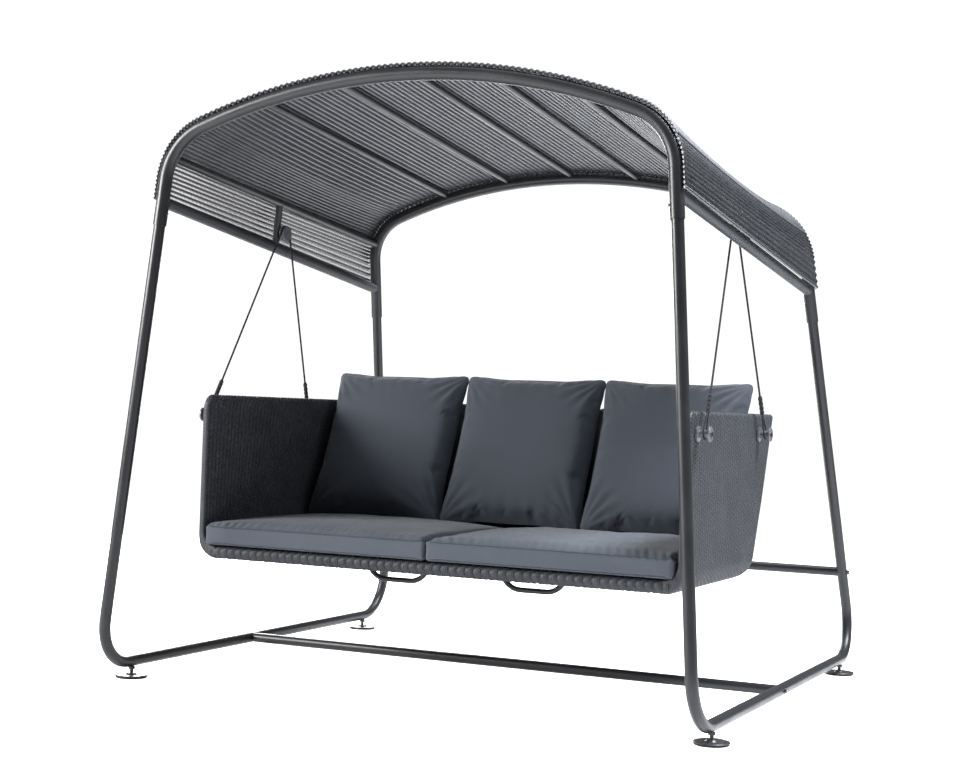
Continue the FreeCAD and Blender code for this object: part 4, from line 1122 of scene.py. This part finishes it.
def inflate(piece, sizes, voxel, swell):
    """Remesh a cushion evenly, fill it by cloth simulation and keep the filled shape."""
    remesh = piece.modifiers.new("even cloth", "REMESH")
    remesh.mode = "VOXEL"
    remesh.voxel_size = voxel
    apply_modifiers(piece)
    start = coords(piece)
    filling = piece.modifiers.new("filling", "CLOTH")
    settings = filling.settings
    settings.quality = 5
    settings.mass = 0.3
    settings.tension_stiffness = 15
    settings.compression_stiffness = 15
    settings.shear_stiffness = 5
    settings.bending_stiffness = 0.5
    settings.use_pressure = True
    settings.uniform_pressure_force = sizes.pressure
    settings.effector_weights.gravity = 0.0
    filling.collision_settings.use_collision = False
    filling.collision_settings.use_self_collision = False
    filling.point_cache.frame_start = 1
    filling.point_cache.frame_end = sizes.frames
    for number in range(1, sizes.frames + 1):
        bpy.context.scene.frame_set(number)
    view = bpy.context.evaluated_depsgraph_get()
    filled = piece.evaluated_get(view)
    flat = np.empty(len(filled.data.vertices) * 3, np.float32)
    filled.data.vertices.foreach_get("co", flat)
    moved = flat.reshape(-1, 3) - start
    size = np.linalg.norm(moved, axis=1, keepdims=True)
    capped = moved * (swell * np.tanh(size / swell) / np.maximum(size, 1e-9))
    piece.modifiers.remove(filling)
    bpy.context.scene.frame_set(1)
    set_coords(piece, start + capped)
    pick(piece)
    bpy.ops.object.shade_smooth()
    deselect()


def smooth_noise(places, scale, seed):
    """Soft waves through space, the same each time, from -1 to 1."""
    rng = np.random.default_rng(seed)
    total = np.zeros(len(places))
    for _ in range(7):
        way = rng.normal(size=3)
        way /= np.linalg.norm(way)
        total += np.sin(places @ (way * scale * rng.uniform(0.6, 1.5)) + rng.uniform(0, 6.28))
    return total / 3.5


def fitted(piece, half):
    """Scale a filled cushion back to its own size, about its middle."""
    places = coords(piece)
    low, high = places.min(axis=0), places.max(axis=0)
    middle = (low + high) / 2
    set_coords(piece, (places - middle) * (2 * np.array(half) / (high - low)))


def sewn_edge(name, tree, line, thickness, sink):
    """Piping that lies on a cushion along a closed line."""
    spots = []
    for spot in line:
        near, normal, _, _ = tree.find_nearest(Vector(spot))
        spots.append(near - normal * sink)
    spots.append(spots[0])
    smooth, _ = evenly(spots, 0.006)
    return strand_bundle(name, [smooth], thickness, 2)


def surface_tree(piece):
    """A mesh as a tree that finds the nearest surface."""
    piece.data.calc_loop_triangles()
    return BVHTree.FromPolygons([v.co for v in piece.data.vertices],
                                [tuple(t.vertices) for t in piece.data.loop_triangles])


def seat_pattern(cube):
    """A box cushion: full-size plan with soft corners, sides drawn in a little and a low crown."""
    x, y, z = cube.T
    pull = 1 - 0.006 * (1 - np.abs(z) ** 2)
    corner = np.clip(np.abs(x) * np.abs(y), 0, 1) ** 12
    shrink = 1 - 0.012 * corner
    crown = 1 + 0.10 * (1 - x ** 4) * (1 - y ** 4) * (z > 0)
    return np.stack([x * pull * shrink, y * pull * shrink, z * crown], axis=1)


EDGE_DRAW = 0.004


def back_pattern(cube):
    """A knife-edge cushion: two faces that meet at a thin seam, with blunted corners."""
    x, y, z = cube.T
    full = np.clip(1 - np.abs(x) ** 3.2, 0, 1) ** 0.55 * np.clip(1 - np.abs(z) ** 3.2, 0, 1) ** 0.55
    draw_x = 1 - EDGE_DRAW * (1 - np.abs(z) ** 2.6)
    draw_z = 1 - EDGE_DRAW * (1 - np.abs(x) ** 2.6)
    blunt = 1 - 0.030 * np.clip(np.abs(x) * np.abs(z), 0, 1) ** 9
    return np.stack([x * draw_x * blunt, y * (0.060 + 0.80 * full), z * draw_z * blunt], axis=1)


class BENCH_OT_seat_cushions(bpy.types.Operator):
    """Sew and fill the two box cushions of the seat"""
    bl_idname = "swing_bench.seat_cushions"
    bl_label = "Seat cushions"

    def execute(self, context):
        sizes, colours = context.scene.bench_cushions, context.scene.bench_finish
        # The seat cloth colour is the shared fabric lightened as painted light from above.
        material = cloth("seat cloth painted light", colours.seat_cloth_painted_light)
        trim = cloth("seat piping", colours.piping)
        half = (sizes.seat_width / 2 - 0.004, sizes.seat_depth / 2 - 0.004,
                sizes.seat_height / 2 - 0.003)
        plan_half = np.array((sizes.seat_width / 2, sizes.seat_depth / 2))
        for name, side in SIDES:
            low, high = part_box("seat_cushion_" + name)
            piece = pillow_block("seat_cushion_cover_" + name, half, 24, seat_pattern)
            inflate(piece, sizes, sizes.voxel * 1.05, sizes.swell * 0.4)
            places = coords(piece)
            plan = np.abs(places[:, :2]).max(axis=0)
            places[:, :2] *= np.array((sizes.seat_width / 2 + 0.003, sizes.seat_depth / 2)) / plan
            floor = -sizes.seat_height / 2
            places[:, 2] = np.maximum(places[:, 2], floor + 0.0005)
            front = np.exp(-(places[:, 1] + sizes.seat_depth / 2) / 0.055)
            rise = np.clip(places[:, 2] / (sizes.seat_height / 2), 0, 1)
            gather = np.sin(places[:, 0] * 190 + 9 * smooth_noise(places, 14.0, 3 + side))
            patchy = np.clip(smooth_noise(places, 12.0, 21 + side), 0, 1)
            places[:, 2] += sizes.gather * front * rise * gather * (0.35 + patchy)
            places[:, 2] += sizes.wave * rise * smooth_noise(places, 13.0, 31 + side)
            places[:, 2] += sizes.wave / 2 * rise * smooth_noise(places, 46.0, 51 + side)
            away = np.clip(np.abs(places[:, :2]) / plan_half, 0, 1)
            places[:, 2] += sizes.crown * rise * ((1 - away[:, 0] ** 3) * (1 - away[:, 1] ** 3)) ** 0.6
            middle = (low + high) / 2
            places += np.array((middle.x, middle.y, low.z + sizes.seat_height / 2))
            set_coords(piece, places)
            hang(piece, "swing", material, ["seat_cushion_" + name])
            tree = surface_tree(piece)
            ring = rounded_ring(*plan_half, 0.03)
            for label, level in (("top", low.z + sizes.seat_height - 0.004), ("bottom", low.z + 0.004)):
                line = [(middle.x + x, middle.y + y, level) for x, y in ring]
                edge = sewn_edge("seat_piping_%s_%s" % (label, name), tree, line, sizes.piping, 0.0004)
                hang(edge, "swing", trim)
        return {"FINISHED"}


def rounded_ring(half_x, half_y, radius):
    """A rounded rectangle as a closed line of points."""
    spots = []
    for turn, (cx, cy) in enumerate(((1, -1), (1, 1), (-1, 1), (-1, -1))):
        centre = (cx * (half_x - radius), cy * (half_y - radius))
        for part in range(7):
            heading = math.radians(-90 + 90 * turn + 15 * part)
            spots.append((centre[0] + radius * math.cos(heading), centre[1] + radius * math.sin(heading)))
    closed = np.c_[np.array(spots + spots[:1]), np.zeros(len(spots) + 1)]
    line, _ = evenly(closed, 0.008)
    return line[:-1, :2]


class BENCH_OT_back_cushions(bpy.types.Operator):
    """Sew and fill the three knife-edge cushions that lean on the back"""
    bl_idname = "swing_bench.back_cushions"
    bl_label = "Back cushions"

    def execute(self, context):
        sizes, colours = context.scene.bench_cushions, context.scene.bench_finish
        recline = context.scene.bench_tub.recline
        # The back cloth colour is the shared fabric darkened as painted shade.
        material = cloth("back cloth painted shade", colours.back_cloth_painted_shade)
        trim = cloth("back piping", colours.piping)
        half = np.array((sizes.back_size / 2, sizes.back_depth / 2 - 0.018, sizes.back_size / 2))
        turn = np.array(Matrix.Rotation(-recline, 3, "X"))
        seat_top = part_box("seat_cushion_left")[1].z + 0.003
        for number, name in enumerate(BACK_NAMES):
            low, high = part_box("back_cushion_" + name)
            piece = pillow_block("back_cushion_cover_" + name, half, 24, back_pattern)
            inflate(piece, sizes, sizes.voxel, sizes.swell)
            fitted(piece, (sizes.back_size / 2, sizes.back_depth / 2, sizes.back_size / 2))
            places = coords(piece)
            creases(places, sizes, number)
            middle = np.array((low + high) / 2)
            seated = sit_down(places, sizes) @ turn.T + middle
            seated[:, 2] = np.maximum(seated[:, 2], seat_top)
            set_coords(piece, seated)
            hang(piece, "swing", material, ["back_cushion_" + name])
            line = sit_down(knife_line(sizes), sizes) @ turn.T + middle
            line[:, 2] = np.maximum(line[:, 2], seat_top)
            edge = sewn_edge("back_piping_" + name, surface_tree(piece), line, sizes.piping, 0.0)
            hang(edge, "swing", trim)
        return {"FINISHED"}


def sit_down(places, sizes):
    """A back cushion let down onto the seat: its foot longer and further forward."""
    lower = np.clip(-places[:, 2] / (sizes.back_size / 2), 0, 1)
    moved = places.copy()
    moved[:, 1] -= sizes.back_ahead * (1 + 0.8 * lower)
    moved[:, 2] -= sizes.back_stretch * lower
    return moved


def knife_line(sizes):
    """The seam round a back cushion, through its four points."""
    spots = []
    half = sizes.back_size / 2
    for start, end in (((-1, -1), (1, -1)), ((1, -1), (1, 1)), ((1, 1), (-1, 1)), ((-1, 1), (-1, -1))):
        for share in np.linspace(0, 1, 60)[:-1]:
            x = start[0] + (end[0] - start[0]) * share
            z = start[1] + (end[1] - start[1]) * share
            spots.append((half * x * (1 - EDGE_DRAW * (1 - abs(z) ** 2.6)), 0.0,
                          half * z * (1 - EDGE_DRAW * (1 - abs(x) ** 2.6))))
    return np.array(spots)


def creases(places, sizes, number):
    """Creases that run in from the corners and along the seams of a back cushion."""
    half = sizes.back_size / 2
    x, z = places[:, 0] / half, places[:, 2] / half
    face = np.sign(places[:, 1])
    body = np.clip(np.abs(places[:, 1]) / (sizes.back_depth / 2), 0, 1)
    total = np.zeros(len(places))
    for corner, (cx, cz) in enumerate(((-1, -1), (1, -1), (1, 1), (-1, 1))):
        away = np.hypot(x - cx, z - cz)
        heading = np.arctan2(z - cz, x - cx)
        fan = np.sin(heading * (17 + corner + number) + number * 1.7 + corner)
        total += np.exp(-((away - 0.32) / 0.26) ** 2) * fan
    seam = np.exp(-np.minimum(1 - np.abs(x), 1 - np.abs(z)) / 0.16)
    gather = np.sin(np.where(np.abs(x) > np.abs(z), z, x) * 31 + 2.5 * smooth_noise(places, 16, number))
    soft = smooth_noise(places, 12.0, 40 + number)
    places[:, 1] += face * body * (sizes.crease * total + sizes.seam_gather * seam * gather
                                   + sizes.dent * soft)


# ------------------------------------------------------------------ metalwork finishes

class BENCH_OT_finishes(bpy.types.Operator):
    """Give every bare tube, hub, spool, bolt and foot its finish"""
    bl_idname = "swing_bench.finishes"
    bl_label = "Metal finishes"

    def execute(self, context):
        colours = context.scene.bench_finish
        tube = coated("tube coat", colours.tube)
        steel = coated("spool steel", [value * 1.8 for value in colours.steel], metallic=0.5,
                       cloud=0.08)
        cap = coated("hub cap coat", [value * 7 for value in colours.tube], 0.34, 0.46, metallic=0.2)
        foot = coated("foot coat", colours.foot, 0.34, 0.55, cloud=0.25, grain=600.0)
        rubber = coated("foot rubber", colours.rubber, 0.7, 0.9, grain=500.0)
        bolt = coated("bolt steel", [value * 1.4 for value in colours.steel], 0.2, 0.35, metallic=1.0)
        by_slot = {"foot_steel": foot, "foot_rubber": rubber, "spool_steel": steel, "cap_paint": cap,
                   "fasteners": bolt}
        slots = {row["node"]: row["material_slot"] for row in frame["record"]["subparts"]}
        for name, node in frame["nodes"].items():
            node.data.materials.clear()
            node.data.materials.append(by_slot.get(slots[name], tube))
        return {"FINISHED"}


# ------------------------------------------------------------------ stage

# name, place, target, side in metres, power in watts, colour
LIGHTS = (("key light", (-4.4, -3.9, 2.8), (0, 0, 0.8), 2.4, 600.0, (1.0, 1.0, 1.0)),
          ("top light", (0.0, 0.8, 5.2), (0, 0, 1.0), 3.0, 130.0, (1.0, 1.0, 1.0)),
          ("right light", (3.2, 0.4, 5.4), (0.9, 0.1, 1.7), 2.0, 900.0, (0.90, 0.95, 1.0)),
          ("rim light", (-4.2, 4.4, 1.9), (0, 0, 1.2), 3.0, 450.0, (1.0, 1.0, 1.0)))
# how bright the floor and the world look in other rays, and to the camera
FLOOR_GLOW = (0.15, 0.90)
WORLD_GLOW = (0.26, 1.1)


def soft_light(name, place, target, size, power, colour):
    """A square area light that points at a target."""
    light = bpy.data.lights.new(name, "AREA")
    light.shape = "SQUARE"
    light.size = size
    light.energy = power
    light.color = colour
    lamp = bpy.data.objects.new(name, light)
    lamp.location = place
    lamp.rotation_euler = (Vector(target) - Vector(place)).to_track_quat("-Z", "Y").to_euler()
    lamp.visible_camera = False
    bpy.context.scene.collection.objects.link(lamp)


def camera_matrix(stage):
    """The camera's place and turn."""
    turn, pitch, roll = stage.camera_turn, stage.camera_pitch, stage.camera_roll
    ahead = Vector((-math.sin(turn) * math.cos(pitch), math.cos(turn) * math.cos(pitch),
                    math.sin(pitch)))
    right = Vector((math.cos(turn), math.sin(turn), 0))
    up = right.cross(ahead)
    rolled = right * math.cos(roll) + up * math.sin(roll)
    upright = -right * math.sin(roll) + up * math.cos(roll)
    matrix = Matrix((rolled, upright, -ahead)).transposed().to_4x4()
    matrix.translation = (stage.camera_x, stage.camera_y, stage.camera_z)
    return matrix


class BENCH_OT_stage(bpy.types.Operator):
    """Set the pale floor, the soft light and the camera"""
    bl_idname = "swing_bench.stage"
    bl_label = "Stage"

    def execute(self, context):
        stage, colours = context.scene.bench_stage, context.scene.bench_finish
        deselect()
        bpy.ops.mesh.primitive_plane_add(size=stage.reach)
        floor = context.object
        floor.name = "studio_floor"
        paint = coated("studio floor", colours.floor, 0.7, 0.9, cloud=0.01, grain=40.0, bump=0.0)
        shader = next(node for node in paint.node_tree.nodes if node.type == "BSDF_PRINCIPLED")
        seen = paint.node_tree.nodes.new("ShaderNodeLightPath").outputs["Is Camera Ray"]
        glow = spread(paint.node_tree, seen, 0.0, 1.0, *FLOOR_GLOW)
        paint.node_tree.links.new(glow, shader.inputs["Emission Color"])
        shader.inputs["Emission Strength"].default_value = 1.0
        floor.data.materials.append(paint)
        world = context.scene.world or bpy.data.worlds.new("studio")
        context.scene.world = world
        world.use_nodes = True
        tree = world.node_tree
        seen = tree.nodes.new("ShaderNodeLightPath").outputs["Is Camera Ray"]
        glow = spread(tree, seen, 0.0, 1.0, *WORLD_GLOW)
        tree.nodes["Background"].inputs[0].default_value = (1.0, 1.0, 1.0, 1.0)
        tree.links.new(glow, tree.nodes["Background"].inputs[1])
        for light in LIGHTS:
            soft_light(*light)
        camera = bpy.data.objects.new("camera", bpy.data.cameras.new("camera"))
        camera.data.lens = stage.lens
        camera.data.sensor_width = 36.0
        camera.matrix_world = camera_matrix(stage)
        context.scene.collection.objects.link(camera)
        context.scene.camera = camera
        context.scene.view_settings.view_transform = "Standard"
        return {"FINISHED"}


# ------------------------------------------------------------------ add-on

OPERATORS = (BENCH_OT_stage, BENCH_OT_finishes, BENCH_OT_canopy_strands, BENCH_OT_canopy_threads,
             BENCH_OT_end_rails, BENCH_OT_arms, BENCH_OT_back, BENCH_OT_seat, BENCH_OT_braid,
             BENCH_OT_ropes, BENCH_OT_seat_cushions, BENCH_OT_back_cushions)


class BENCH_PT_panel(bpy.types.Panel):
    """Lists the bench's makers in the sidebar"""
    bl_idname = "BENCH_PT_panel"
    bl_label = "Swing bench"
    bl_space_type = "VIEW_3D"
    bl_region_type = "UI"
    bl_category = "Swing Bench"

    def draw(self, context):
        for operator in OPERATORS:
            self.layout.operator(operator.bl_idname)
        for name, group in GROUPS:
            box = self.layout.box()
            for key in group.__annotations__:
                box.prop(getattr(context.scene, name), key)


def register():
    for name, group in GROUPS:
        bpy.utils.register_class(group)
        setattr(bpy.types.Scene, name, PointerProperty(type=group))
    for operator in OPERATORS:
        bpy.utils.register_class(operator)
    bpy.utils.register_class(BENCH_PT_panel)


def unregister():
    bpy.utils.unregister_class(BENCH_PT_panel)
    for operator in reversed(OPERATORS):
        bpy.utils.unregister_class(operator)
    for name, group in reversed(GROUPS):
        delattr(bpy.types.Scene, name)
        bpy.utils.unregister_class(group)


def main():
    register()
    for operator in OPERATORS:
        group, name = operator.bl_idname.split(".")
        getattr(getattr(bpy.ops, group), name)()


if __name__ == "__main__":
    main()
